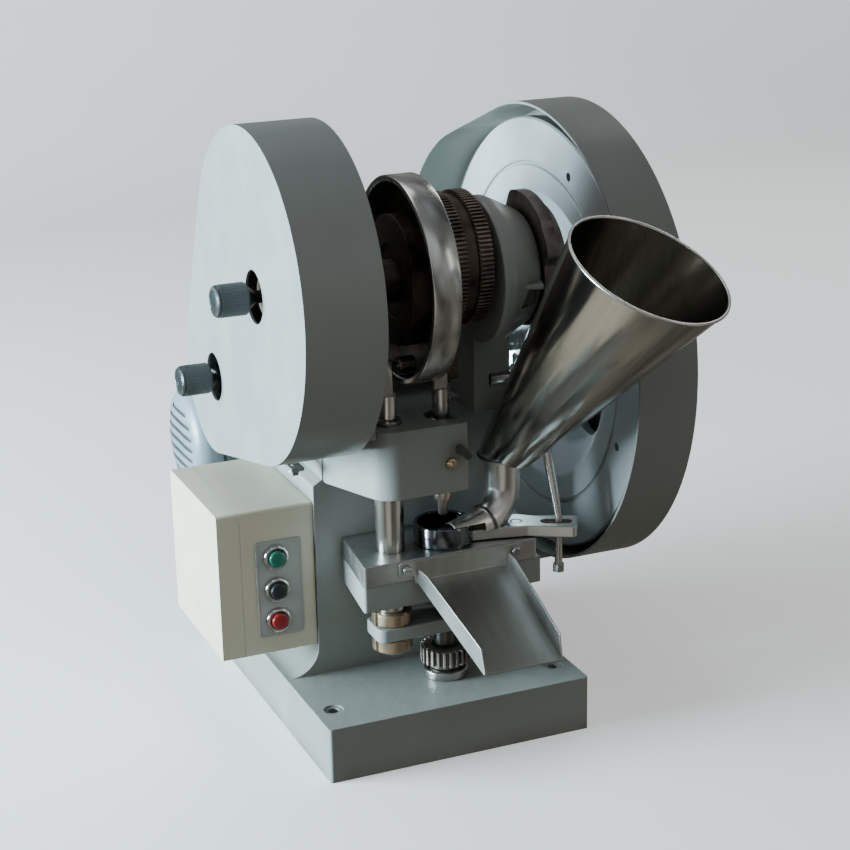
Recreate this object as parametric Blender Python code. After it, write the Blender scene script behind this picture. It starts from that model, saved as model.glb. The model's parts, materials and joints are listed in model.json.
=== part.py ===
"""Bench tablet press: a cast frame with one punch, a gear drive, a flywheel and a swinging powder feeder.

Lengths are millimetres in the constants below and metres in the scene. X runs to the right, Y to the
back and Z up. The origin is on the floor, under the main shaft, midway across the base.
"""

import math

import bmesh
import bpy
from mathutils import Matrix, Vector

MM = 0.001
GAP = 0.3

# Frame casting
BASE_HALF_WIDTH = 137.5
BASE_FRONT = -53.0
BASE_BACK = 300.0
BASE_TOP = 56.0
FOOT_HOLE = (118.0, -30.0, 277.0)
COLUMN_HALF_WIDTH = 102.0
COLUMN_FRONT = 51.0
COLUMN_BACK = 240.0
FLARE_RADIUS = 31.5
HEAD_BOTTOM = 260.0
HEAD_TOP = 328.0
HEAD_FRONT = -33.0
HEAD_RIGHT = 27.5
CHEEK_LEFT = (-92.7, -64.0)
CHEEK_RIGHT = (54.0, 92.0)

# Shafts
MAIN_Z = 466.0
MAIN_RADIUS = 20.0
DRIVE_Y = 140.0
DRIVE_RADIUS = 15.0
GEAR_MODULE = 4.0
GEAR_TEETH = 62
PINION_TEETH = 28
GEAR_SPAN = (-150.0, -120.0)
ECCENTRICITY = 15.0
ECCENTRIC_RADIUS = 22.0
STRAP_INNER = 52.6
STRAP_OUTER = 60.5
STRAP_SPAN = (17.3, 28.3)

# Press axis and lifting rod
PUNCH_X = 13.5
PUNCH_RADIUS = 4.8
LIFT_X = -43.0
LIFT_RADIUS = 14.0
ROLLER_Z = 383.5
STRAP_PIN_Z = 373.0

# Die table
TABLE_BOTTOM = 151.0
PLATE_BOTTOM = 177.3
PLATE_TOP = 199.0

# Discharge chute: left and right edges at the table and at the lip, then (Y, Z) of each end
CHUTE_SCREWS = (-41.0, 74.0)
CHUTE_TOP = (-31.0, 66.0)
CHUTE_END = (-18.0, 62.0)
CHUTE_BACK = (-36.0, 176.5)
CHUTE_LIP = (-163.0, 128.0)

# Feeder
FEEDER_X = 86.0
FEEDER_Y = -13.5
ARM_ANGLE = math.radians(-26.0)
HOPPER_THROAT = Vector((78.0, 0.0, 281.5))
HOPPER_MOUTH = Vector((128.7, -197.4, 501.1))
HOPPER_RIM = Vector((0.23, -0.42, 0.88))
LEVER_Y = 14.0
LEVER_Z = 352.0
LEVER_FOOT = (124.0, -31.0)

# Covers, flywheel and motor
COVER_SPAN = (-169.0, -93.0)
COVER_CIRCLES = ((20.0, 462.0, 157.0), (156.0, 351.0, 79.0))
GUARD_SPAN = (175.0, 238.0)
GUARD_CIRCLES = ((140.0, 355.0, 240.0), (266.0, 330.0, 220.0))
SHEET = 2.5
FLYWHEEL_RADIUS = 226.0
MOTOR_Y = 387.0
MOTOR_Z = 208.0
MOTOR_RADIUS = 62.0

# Control box
BOX_X = (-201.0, -102.5)
BOX_Y = (54.0, 211.0)
BOX_Z = (87.0, 239.0)
BUTTON_X = -143.0
BUTTON_Z = {"start": 189.0, "jog": 155.0, "stop": 123.0}

CENTRE_DISTANCE = GEAR_MODULE * (GEAR_TEETH + PINION_TEETH) / 2
DRIVE_Z = MAIN_Z - math.sqrt(CENTRE_DISTANCE**2 - DRIVE_Y**2)

MATERIALS = {
    "grey_casting": ((0.33, 0.36, 0.36), 0.0, 0.45),
    "cover_paint": ((0.62, 0.70, 0.74), 0.0, 0.35),
    "guard_paint": ((0.30, 0.33, 0.32), 0.0, 0.4),
    "motor_paint": ((0.40, 0.47, 0.52), 0.0, 0.45),
    "cream_paint": ((0.80, 0.78, 0.68), 0.0, 0.4),
    "panel_grey": ((0.55, 0.56, 0.56), 0.0, 0.5),
    "stainless": ((0.62, 0.62, 0.60), 1.0, 0.22),
    "machined_steel": ((0.55, 0.56, 0.57), 1.0, 0.3),
    "dark_steel": ((0.12, 0.12, 0.12), 0.9, 0.45),
    "gear_steel": ((0.34, 0.25, 0.21), 0.8, 0.5),
    "aluminium": ((0.72, 0.73, 0.71), 1.0, 0.35),
    "bronze": ((0.62, 0.45, 0.25), 1.0, 0.4),
    "chrome": ((0.80, 0.80, 0.80), 1.0, 0.12),
    "black_plastic": ((0.03, 0.035, 0.04), 0.0, 0.4),
    "green_plastic": ((0.02, 0.25, 0.16), 0.0, 0.35),
    "red_plastic": ((0.60, 0.03, 0.03), 0.0, 0.35),
    "belt_rubber": ((0.02, 0.02, 0.02), 0.0, 0.8),
}


def clear_scene():
    for obj in list(bpy.data.objects):
        bpy.data.objects.remove(obj, do_unlink=True)


def new_collection(name):
    collection = bpy.data.collections.new(name)
    bpy.context.scene.collection.children.link(collection)
    return collection


def new_material(name, colour, metallic, roughness):
    material = bpy.data.materials.new(name)
    material.use_nodes = True
    shader = material.node_tree.nodes["Principled BSDF"]
    shader.inputs["Base Color"].default_value = (*colour, 1.0)
    shader.inputs["Metallic"].default_value = metallic
    shader.inputs["Roughness"].default_value = roughness
    return material


clear_scene()
PRESS = new_collection("tablet_press")
CUTTERS = new_collection("cutters")


def to_axis(axis):
    """The matrix that turns the local Z axis onto the axis named."""
    if axis == "X":
        return Matrix(((0, 0, 1), (1, 0, 0), (0, 1, 0)))
    if axis == "Y":
        return Matrix(((1, 0, 0), (0, 0, 1), (0, -1, 0)))
    if axis == "-Y":
        return Matrix(((1, 0, 0), (0, 0, -1), (0, 1, 0)))
    return Matrix.Identity(3)


def add_object(name, bm, surface, origin=(0.0, 0.0, 0.0)):
    """Makes an object from a mesh in millimetres, with its own origin at the point given."""
    bmesh.ops.recalc_face_normals(bm, faces=bm.faces)
    base = Vector(origin)
    for vertex in bm.verts:
        vertex.co = (vertex.co - base) * MM
    mesh = bpy.data.meshes.new(name)
    bm.to_mesh(mesh)
    bm.free()
    obj = bpy.data.objects.new(name, mesh)
    obj.location = base * MM
    if surface is None:
        CUTTERS.objects.link(obj)
        obj.hide_render = True
        obj.display_type = "WIRE"
    else:
        mesh.materials.append(new_material(name, *MATERIALS[surface]))
        mesh.shade_smooth()
        mesh.set_sharp_from_angle(angle=math.radians(35))
        PRESS.objects.link(obj)
    return obj


def combine(obj, operation, other):
    modifier = obj.modifiers.new(other.name, "BOOLEAN")
    modifier.operation = operation
    modifier.solver = "EXACT"
    modifier.object = other
    return obj


def cut(obj, *others):
    for other in others:
        combine(obj, "DIFFERENCE", other)
    return obj


def join(obj, *others):
    for other in others:
        combine(obj, "UNION", other)
    return obj


def box(name, x, y, z, surface=None, origin=(0.0, 0.0, 0.0), bevel=0.0, segments=1):
    bm = bmesh.new()
    bmesh.ops.create_cube(bm, size=1.0)
    for vertex in bm.verts:
        vertex.co = Vector(
            (
                x[0] if vertex.co.x < 0 else x[1],
                y[0] if vertex.co.y < 0 else y[1],
                z[0] if vertex.co.z < 0 else z[1],
            )
        )
    if bevel:
        bmesh.ops.bevel(
            bm, geom=list(bm.edges), offset=bevel, segments=segments, profile=0.5, affect="EDGES"
        )
    return add_object(name, bm, surface, origin)


def prism(name, outline, axis, span, surface=None, origin=(0.0, 0.0, 0.0), bevel=0.0):
    """Extrudes a closed outline of (Y, Z) along X, (X, Z) along Y or (X, Y) along Z."""
    bm = bmesh.new()
    place = "XYZ".index(axis)
    corners = []
    for pair in outline:
        point = list(pair)
        point.insert(place, span[0])
        corners.append(bm.verts.new(point))
    grown = bmesh.ops.extrude_face_region(bm, geom=[bm.faces.new(corners)])["geom"]
    reach = Vector((0, 0, 0))
    reach[place] = span[1] - span[0]
    bmesh.ops.translate(bm, vec=reach, verts=[item for item in grown if isinstance(item, bmesh.types.BMVert)])
    if bevel:
        rim = [edge for edge in bm.edges if edge.verts[0].co[place] == edge.verts[1].co[place]]
        bmesh.ops.recalc_face_normals(bm, faces=bm.faces)
        bmesh.ops.bevel(bm, geom=rim, offset=bevel, segments=1, profile=0.5, affect="EDGES")
    return add_object(name, bm, surface, origin)


def lathe(name, profile, axis, centre, surface=None, origin=None, steps=28):
    """Spins (radius, height) pairs round an axis. A profile that starts on the axis makes a solid."""
    bm = bmesh.new()
    points = [bm.verts.new((radius, 0, height)) for radius, height in profile if radius > 0]
    edges = [bm.edges.new(pair) for pair in zip(points, points[1:])]
    solid = profile[0][0] == 0
    if not solid:
        edges.append(bm.edges.new((points[-1], points[0])))
    turn = {"cent": (0, 0, 0), "axis": (0, 0, 1), "angle": 2 * math.pi}
    bmesh.ops.spin(bm, geom=points + edges, steps=steps, use_merge=True, **turn)
    if solid:
        bmesh.ops.holes_fill(bm, edges=bm.edges)
    placed = Matrix.Translation(centre) @ to_axis(axis).to_4x4()
    bmesh.ops.transform(bm, matrix=placed, verts=bm.verts)
    return add_object(name, bm, surface, centre if origin is None else origin)


def rod(name, axis, centre, radius, span, surface=None, origin=None, steps=20, bevel=0.0):
    low, high = span
    if bevel:
        profile = [
            (0, low),
            (radius - bevel, low),
            (radius, low + bevel),
            (radius, high - bevel),
            (radius - bevel, high),
            (0, high),
        ]
    else:
        profile = [(0, low), (radius, low), (radius, high), (0, high)]
    return lathe(name, profile, axis, centre, surface, origin, steps)


def tube(name, axis, centre, inner, outer, span, surface=None, origin=None, steps=28):
    low, high = span
    profile = [(inner, low), (outer, low), (outer, high), (inner, high)]
    return lathe(name, profile, axis, centre, surface, origin, steps)


def circle(centre, radius, steps, start=0.0, sweep=2 * math.pi):
    count = steps if sweep == 2 * math.pi else steps + 1
    return [
        (
            centre[0] + radius * math.cos(start + sweep * i / steps),
            centre[1] + radius * math.sin(start + sweep * i / steps),
        )
        for i in range(count)
    ]


def hull(circles, grow=0.0, steps=36):
    """The outline of a band stretched round two circles, each (first, second, radius)."""
    (ax, ay, ar), (bx, by, br) = circles
    heading = math.atan2(by - ay, bx - ax)
    lean = math.acos((ar - br) / math.hypot(bx - ax, by - ay))
    share = (2 * math.pi - 2 * lean) / (2 * math.pi)
    far_steps = max(8, round(steps * share))
    near_steps = max(8, steps - far_steps)
    outline = circle((ax, ay), ar + grow, far_steps, heading + lean, 2 * math.pi - 2 * lean)
    outline += circle((bx, by), br + grow, near_steps, heading - lean, 2 * lean)
    return outline


def rounded(corners, steps=4):
    """A closed outline with each corner (first, second, radius) rounded."""
    outline = []
    count = len(corners)
    for i, (x, y, radius) in enumerate(corners):
        here = Vector((x, y))
        if radius == 0:
            outline.append((x, y))
            continue
        before = (Vector(corners[i - 1][:2]) - here).normalized()
        after = (Vector(corners[(i + 1) % count][:2]) - here).normalized()
        half = before.angle(after) / 2
        centre = here + (before + after).normalized() * radius / math.sin(half)
        start = here + before * radius / math.tan(half) - centre
        end = here + after * radius / math.tan(half) - centre
        first = math.atan2(start.y, start.x)
        swing = math.atan2(end.y, end.x) - first
        swing = (swing + math.pi) % (2 * math.pi) - math.pi
        outline += circle(centre, radius, steps, first, swing)
    return outline


def gear_outline(centre, teeth, module, phase, backlash=0.35):
    """Straight-flanked teeth. A tooth is centred on the phase angle."""
    pitch = module * teeth / 2
    root = pitch - 1.2 * module
    tip = pitch + 0.95 * module
    half = math.pi * module / 4 - backlash / 2
    slope = math.tan(math.radians(20))
    wide = (half + 1.0 * module * slope) / root
    narrow = (half - 0.95 * module * slope) / tip
    outline = []
    for i in range(teeth):
        middle = phase + 2 * math.pi * i / teeth
        for radius, angle in ((root, -wide), (tip, -narrow), (tip, narrow), (root, wide)):
            outline.append(
                (
                    centre[0] + radius * math.cos(middle + angle),
                    centre[1] + radius * math.sin(middle + angle),
                )
            )
    return outline


def toothed(centre, outer, depth, teeth, share=0.5):
    """Fine square teeth round a ring."""
    outline = []
    step = 2 * math.pi / teeth
    root = outer - depth
    for i in range(teeth):
        for radius, place in ((root, 0.0), (outer, 0.12), (outer, share), (root, share + 0.12)):
            angle = step * (i + place)
            outline.append(
                (centre[0] + radius * math.cos(angle), centre[1] + radius * math.sin(angle))
            )
    return outline


def loft(name, rings, surface=None, origin=(0.0, 0.0, 0.0), capped=False):
    """Joins rings of points in order. The ends are capped, or the last ring closes onto the first."""
    bm = bmesh.new()
    made = [[bm.verts.new(point) for point in ring] for ring in rings]
    if capped:
        bm.faces.new(made[0])
        bm.faces.new(made[-1][::-1])
    following = made[1:] if capped else made[1:] + made[:1]
    for first, second in zip(made, following):
        count = len(first)
        for i in range(count):
            j = (i + 1) % count
            bm.faces.new((first[i], first[j], second[j], second[i]))
    return add_object(name, bm, surface, origin)


def ring_across(centre, direction, radius, steps):
    """A circle of points square to a direction, starting on the side nearest +X."""
    forward = Vector(direction).normalized()
    side = (Vector((1, 0, 0)) - forward * forward.x).normalized()
    up = forward.cross(side)
    return [
        Vector(centre)
        + side * radius * math.cos(2 * math.pi * i / steps)
        + up * radius * math.sin(2 * math.pi * i / steps)
        for i in range(steps)
    ]


def build_frame():
    base = box(
        "frame_casting",
        (-BASE_HALF_WIDTH, BASE_HALF_WIDTH),
        (BASE_FRONT, BASE_BACK),
        (0, BASE_TOP),
        "grey_casting",
        bevel=2.0,
    )
    flare = BASE_HALF_WIDTH - 4.0
    left = circle((-flare, BASE_TOP + FLARE_RADIUS), FLARE_RADIUS, 6, -math.pi / 2, math.pi / 2)
    right = [(-x, z) for x, z in left]
    column = [(-flare, BASE_TOP - 8)] + left
    column += [(-COLUMN_HALF_WIDTH, 256), (CHEEK_LEFT[0] + 0.5, 262), (CHEEK_LEFT[0] + 0.5, 327)]
    column += [(COLUMN_HALF_WIDTH, 327)] + right[::-1] + [(flare, BASE_TOP - 8)]
    column = prism("column", column, "Y", (COLUMN_FRONT, COLUMN_BACK), bevel=2.0)
    head = rounded(
        [
            (HEAD_RIGHT, HEAD_FRONT, 3),
            (HEAD_RIGHT, 70, 0),
            (-91.0, 70, 0),
            (-91.0, 44, 6),
            (-60, HEAD_FRONT, 26),
        ]
    )
    head = prism("head", head, "Z", (HEAD_BOTTOM, HEAD_TOP), bevel=1.5)
    rear = rounded([(96, 318, 0), (190, 318, 0), (190, 397, 16), (96, 397, 10)])
    rear = prism("rear_block", rear, "X", (-91.6, 91.0))
    cheeks = []
    for name, (low, high) in (("left_cheek", CHEEK_LEFT), ("right_cheek", CHEEK_RIGHT)):
        front = -24 if low < 0 else 12
        outline = circle((0, MAIN_Z), 52, 14, math.radians(60), math.radians(150))
        outline += [(front, 402), (front, 321), (150, 321), (150, 388)]
        cheeks.append(prism(name, outline, "X", (low, high)))
    housing = [(0, 0), (70, 0), (71, 1.5), (71, 12), (55, 43), (53, 45), (0, 45)]
    housing = lathe("right_housing", housing, "X", (50, 0, MAIN_Z), steps=32)
    boss = rod("left_boss", "X", (0, 0, MAIN_Z), 50, (-76, -60), steps=28)
    drive_boss = rod("drive_boss", "X", (0, DRIVE_Y, DRIVE_Z), 36, (88, 122))
    table = rounded([(-84, -33, 3), (104, -33, 3), (104, 60, 0), (-72, 60, 0)])
    table = prism("table_block", table, "Z", (TABLE_BOTTOM, PLATE_BOTTOM - GAP), bevel=1.5)
    punch_boss = rod("punch_boss", "Z", (PUNCH_X, 0, 0), 22, (136, 156))
    rib = [(0, 156), (56, 156), (56, 84)]
    rib = prism("table_rib", rib, "X", (64, 84))
    join(base, column, head, rear, *cheeks, housing, boss, drive_boss, table, punch_boss, rib)

    cutters = [
        rod("main_bore", "X", (0, 0, MAIN_Z), 27.0, (-112, 108), steps=28),
        rod("drive_bore", "X", (0, DRIVE_Y, DRIVE_Z), 22.0, (-110, 130), steps=20),
        rod("slide_bore", "Z", (PUNCH_X, 0, 0), 17.3, (255, 335), steps=20),
        rod("lift_bore", "Z", (LIFT_X, 0, 0), LIFT_RADIUS + GAP, (140, 335), steps=20),
        rod("lower_bore", "Z", (PUNCH_X, 0, 0), 12.0, (120, 180), steps=16),
        rod("table_stud", "Z", (FEEDER_X, FEEDER_Y, 0), 6.3, (160, 180), steps=12),
        rod("lever_bore", "X", (0, LEVER_Y, LEVER_Z), 6.3, (70, 100), steps=12),
    ]
    for side in (-1, 1):
        for place in FOOT_HOLE[1:]:
            name = f"foot_hole_{side}_{round(place)}"
            cutters.append(
                rod(name, "Z", (side * FOOT_HOLE[0], place, 0), 5.5, (-5, 70), steps=8)
            )
    for index, (z, x) in enumerate(((302, 18.5), (290, 8.5))):
        cutters.append(rod(f"head_hole_{index}", "Y", (x, 0, z), 3.3, (HEAD_FRONT - 5, -23), steps=8))
    window = box("housing_window", (70, 90), (-62, -46), (440, 458))
    cut(base, *cutters, window)


def build_table():
    back = COLUMN_FRONT - GAP
    outline = rounded([(-84, -35, 2), (98, -35, 2), (98, back, 0), (-74, back, 2)], 2)
    plate = prism("die_table_plate", outline, "Z", (PLATE_BOTTOM, PLATE_TOP), "machined_steel", bevel=0.8)
    cut(
        plate,
        rod("die_seat", "Z", (PUNCH_X, 0, 0), 19.0, (170, 205), steps=24),
        rod("plate_lift_bore", "Z", (LIFT_X, 0, 0), LIFT_RADIUS + GAP, (170, 205), steps=20),
        rod("plate_stud_bore", "Z", (FEEDER_X, FEEDER_Y, 0), 6.3, (170, 205), steps=16),
    )
    for x in CHUTE_SCREWS:
        cut(plate, rod(f"plate_screw_{round(x)}", "Y", (x, 0, 190), 2.8, (-40, -24), steps=8))
    tube("die", "Z", (PUNCH_X, 0, 0), 6.4, 18.7, (PLATE_BOTTOM + 0.2, PLATE_TOP), "dark_steel", steps=24)


def build_chute():
    """A folded sheet: a back flange with two ears, a sloping floor and two walls that deepen outwards."""
    thick = 1.6
    back = Vector(CHUTE_BACK)
    fall = Vector(CHUTE_LIP) - back
    normal = Vector((fall.y, -fall.x)).normalized()
    stations = []
    for along, wall in ((0.0, 15.0), (0.12, 20.0), (0.9, 22.0), (1.0, 3.0)):
        left = CHUTE_TOP[0] + (CHUTE_END[0] - CHUTE_TOP[0]) * along
        right = CHUTE_TOP[1] + (CHUTE_END[1] - CHUTE_TOP[1]) * along
        section = [
            (left, 0.0),
            (right, 0.0),
            (right, wall),
            (right - thick, wall),
            (right - thick, thick),
            (left + thick, thick),
            (left + thick, wall),
            (left, wall),
        ]
        middle = back + fall * along
        stations.append(
            [(x, middle.x + normal.x * up, middle.y + normal.y * up) for x, up in section]
        )
    chute = loft("chute", stations, "stainless", capped=True)
    flange = rounded(
        [
            (-49, 183, 3),
            (-34, 183, 0),
            (-32, 174, 0),
            (67, 174, 0),
            (69, 183, 0),
            (82, 183, 3),
            (82, 198, 3),
            (-49, 198, 3),
        ],
        3,
    )
    join(chute, prism("chute_flange", flange, "Y", (-37.3, -35.0 - GAP)))
    for name, x in (("chute_screw_left", CHUTE_SCREWS[0]), ("chute_screw_right", CHUTE_SCREWS[1])):
        cut(chute, rod(f"{name}_hole", "Y", (x, 0, 190), 2.9, (-45, -30), steps=8))
        profile = [(0, -9.0), (2.4, -9.0), (2.4, 2.7), (4.6, 2.7), (4.6, 4.6), (3.0, 6.4), (0, 6.4)]
        lathe(name, profile, "-Y", (x, -35.0, 190), "machined_steel", steps=8)


def shell(name, circles, span, surface, open_side):
    """A sheet cover round two circles. The open side has no face."""
    low, high = span
    cover = prism(name, hull(circles), "X", span, surface, bevel=1.2)
    if open_side == "right":
        inside = (low + SHEET, high + 10)
    else:
        inside = (low - 10, high - SHEET)
    cut(cover, prism(f"{name}_hollow", hull(circles, -SHEET), "X", inside))
    return cover


def build_covers():
    cover = shell("gear_cover", COVER_CIRCLES, COVER_SPAN, "cover_paint", "right")
    low = COVER_SPAN[0]
    cut(
        cover,
        rod("cover_hole_main", "X", (0, 0, MAIN_Z), 25, (low - 10, low + 20), steps=24),
        rod("cover_hole_drive", "X", (0, DRIVE_Y, DRIVE_Z), 24, (low - 10, low + 20), steps=24),
    )
    shell("belt_guard", GUARD_CIRCLES, GUARD_SPAN, "guard_paint", "left")
    foot = [(108, BASE_TOP + GAP), (134, BASE_TOP + GAP), (134, 98), (234, 98), (234, 109.7), (108, 109.7)]
    rear = prism("guard_bracket", foot, "Y", (252, 280), "grey_casting", bevel=1.0)
    reach = box("guard_bracket_front", (COLUMN_HALF_WIDTH + GAP, 234), (126, 154), (103, 113.4), bevel=1.0)
    beam = box("guard_bracket_beam", (112, 130), (130, 276), (99, 108))
    join(rear, reach, beam)


def build_main_shaft():
    centre = (0, 0, MAIN_Z)
    shaft = rod("main_shaft", "X", centre, MAIN_RADIUS, (-160, 124), "machined_steel", steps=24, bevel=1.5)
    eccentric = rod("eccentric", "X", (0, 0, MAIN_Z + ECCENTRICITY), ECCENTRIC_RADIUS, (17.1, 28.5), steps=24)
    join(shaft, eccentric)
    bore = rod("shaft_seat", "X", centre, MAIN_RADIUS + GAP, (-200, 160), steps=24)
    phase = math.atan2(DRIVE_Z - MAIN_Z, DRIVE_Y)
    outline = gear_outline((0, MAIN_Z), GEAR_TEETH, GEAR_MODULE, phase)
    gear = prism("large_gear", outline, "X", GEAR_SPAN, "gear_steel", centre)
    cut(gear, bore)

    profile = [
        (MAIN_RADIUS + GAP, -33),
        (50, -33),
        (50, -9),
        (92, -9),
        (92, -33),
        (98, -33),
        (98, -5),
        (MAIN_RADIUS + GAP, -5),
    ]
    cam = lathe("eject_cam", profile, "X", centre, "machined_steel", steps=32)
    lobe = []
    for i in range(24):
        angle = 2 * math.pi * i / 24
        rise = 0.5 - 0.5 * math.cos(max(-math.pi, min(math.pi, 2.2 * (angle - math.pi))))
        radius = 53 + 9 * rise
        lobe.append((radius * math.cos(angle), MAIN_Z + radius * math.sin(angle)))
    inner = prism("eject_inner", lobe, "X", (-34.5, -8))
    cut(inner, rod("eject_inner_bore", "X", centre, 36, (-60, 20), steps=24))
    join(cam, inner)

    for side, low, high in (("left", 5.5, 16.6), ("right", 29.0, 42.0)):
        outline = toothed((0, MAIN_Z + ECCENTRICITY), 64, 3.2, 26)
        ring = prism(f"toothed_ring_{side}", outline, "X", (low, high), "gear_steel", centre)
        cut(ring, bore)

    profile = []
    for i in range(48):
        angle = 2 * math.pi * i / 48
        turn = math.degrees(angle)
        radius = 58.0
        for middle, half, height in ((105, 46, 14), (150, 20, 11)):
            away = abs((turn - middle + 180) % 360 - 180)
            if away < half:
                radius = max(radius, 58.0 + height * min(1.0, 2.4 * (1 - away / half)))
        profile.append((radius * math.cos(angle), MAIN_Z + radius * math.sin(angle)))
    cam = prism("feeder_cam", profile, "X", (96.0, 119.0), "gear_steel", centre)
    step = tube("feeder_cam_step", "X", centre, 60, 90, (108, 125), steps=24)
    cut(cam, bore, step)

    for side, span in (("left", (CHEEK_LEFT[0] + 1, -60)), ("right", (50.5, 95.0))):
        tube(f"main_bush_{side}", "X", centre, MAIN_RADIUS + GAP, 27 - GAP, span, "bronze", steps=20)


def build_drive_shaft():
    centre = (0, DRIVE_Y, DRIVE_Z)
    rod("drive_shaft", "X", centre, DRIVE_RADIUS, (-158, 232), "machined_steel", steps=20, bevel=1.5)
    bore = rod("drive_seat", "X", centre, DRIVE_RADIUS + GAP, (-200, 250), steps=20)
    back = math.atan2(MAIN_Z - DRIVE_Z, -DRIVE_Y)
    phase = back + math.pi / PINION_TEETH
    outline = gear_outline((DRIVE_Y, DRIVE_Z), PINION_TEETH, GEAR_MODULE, phase)
    pinion = prism("pinion", outline, "X", GEAR_SPAN, "gear_steel", centre)
    cut(pinion, bore)

    r = FLYWHEEL_RADIUS
    profile = [
        (DRIVE_RADIUS + GAP, -26),
        (37, -26),
        (44, 5),
        (118, 8),
        (152, -20),
        (r, -20),
        (r, -4),
        (r - 15, -1),
        (r - 15, 7),
        (r, 10),
        (r, 20),
        (154, 20),
        (44, 17),
        (38, 26),
        (DRIVE_RADIUS + GAP, 26),
    ]
    wheel = lathe("flywheel", profile, "X", (204, DRIVE_Y, DRIVE_Z), "machined_steel", steps=32)
    for index in range(4):
        angle = math.radians(45 + 90 * index)
        y = DRIVE_Y + 92 * math.cos(angle)
        z = DRIVE_Z + 92 * math.sin(angle)
        cut(wheel, rod(f"lightening_{index}", "X", (204, y, z), 31, (-40, 40), steps=12))
        angle = math.radians(22 + 90 * index)
        y = DRIVE_Y + 186 * math.cos(angle)
        z = DRIVE_Z + 186 * math.sin(angle)
        cut(wheel, rod(f"balance_{index}", "X", (204, y, z), 4.5, (-30, -10), steps=6))

    for side, span in (("left", (CHEEK_LEFT[0] + 1, -50)), ("right", (60, 123))):
        tube(f"drive_bush_{side}", "X", centre, DRIVE_RADIUS + GAP, 22 - GAP, span, "bronze", steps=20)


def build_grease_cups():
    cup = [(0, 0), (6, 0), (6, -8), (10, -12), (15, -16), (15.3, -17), (15.3, -41), (13.5, -44), (0, -44)]
    for name, y, z, start in (
        ("main_grease_cup", 0, MAIN_Z, -160.3),
        ("drive_grease_cup", DRIVE_Y, DRIVE_Z, -158.3),
    ):
        lathe(name, [(r, h * 1.08) for r, h in cup], "X", (start, y, z), "black_plastic", steps=16)


def build_punch():
    origin = (PUNCH_X, 0, HEAD_BOTTOM)
    middle = MAIN_Z + ECCENTRICITY
    strap = tube(
        "eccentric_strap", "X", (0, 0, middle), STRAP_INNER, STRAP_OUTER, STRAP_SPAN, "dark_steel", origin, 32
    )
    neck = rounded([(-9, STRAP_PIN_Z + 4, 0), (9, STRAP_PIN_Z + 4, 0), (15, 424, 0), (-15, 424, 0)])
    neck = prism("strap_neck", neck, "X", STRAP_SPAN)
    eye = rod("strap_eye", "X", (0, 0, STRAP_PIN_Z), 11, STRAP_SPAN, steps=20)
    hole = rod("strap_eye_hole", "X", (0, 0, STRAP_PIN_Z), 5.3, (10, 40), steps=16)
    cut(join(strap, neck, eye), hole)

    profile = [
        (0, 263),
        (16, 263),
        (17, 264),
        (17, 322),
        (16, 323),
        (9, 326),
        (9, 361),
        (0, 361),
    ]
    slide = lathe("punch_slide", profile, "Z", (PUNCH_X, 0, 0), "machined_steel", origin, 20)
    knuckle = box("slide_knuckle", (1.5, 17.0), (-11, 11), (356, 384), bevel=1.5)
    pin = rod("strap_pin", "X", (0, 0, STRAP_PIN_Z), 5, (4, 31), steps=12)
    join(slide, knuckle, pin)
    cut(slide, rod("slide_socket", "Z", (PUNCH_X, 0, 0), 7.3, (255, 283), steps=16))

    profile = [
        (0, 226),
        (PUNCH_RADIUS - 0.6, 226),
        (PUNCH_RADIUS, 227),
        (PUNCH_RADIUS, 241),
        (8.3, 242),
        (8.3, 250),
        (7, 251),
        (7, 282),
        (0, 282),
    ]
    lathe("upper_punch", profile, "Z", (PUNCH_X, 0, 0), "machined_steel", origin, 16)


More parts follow.
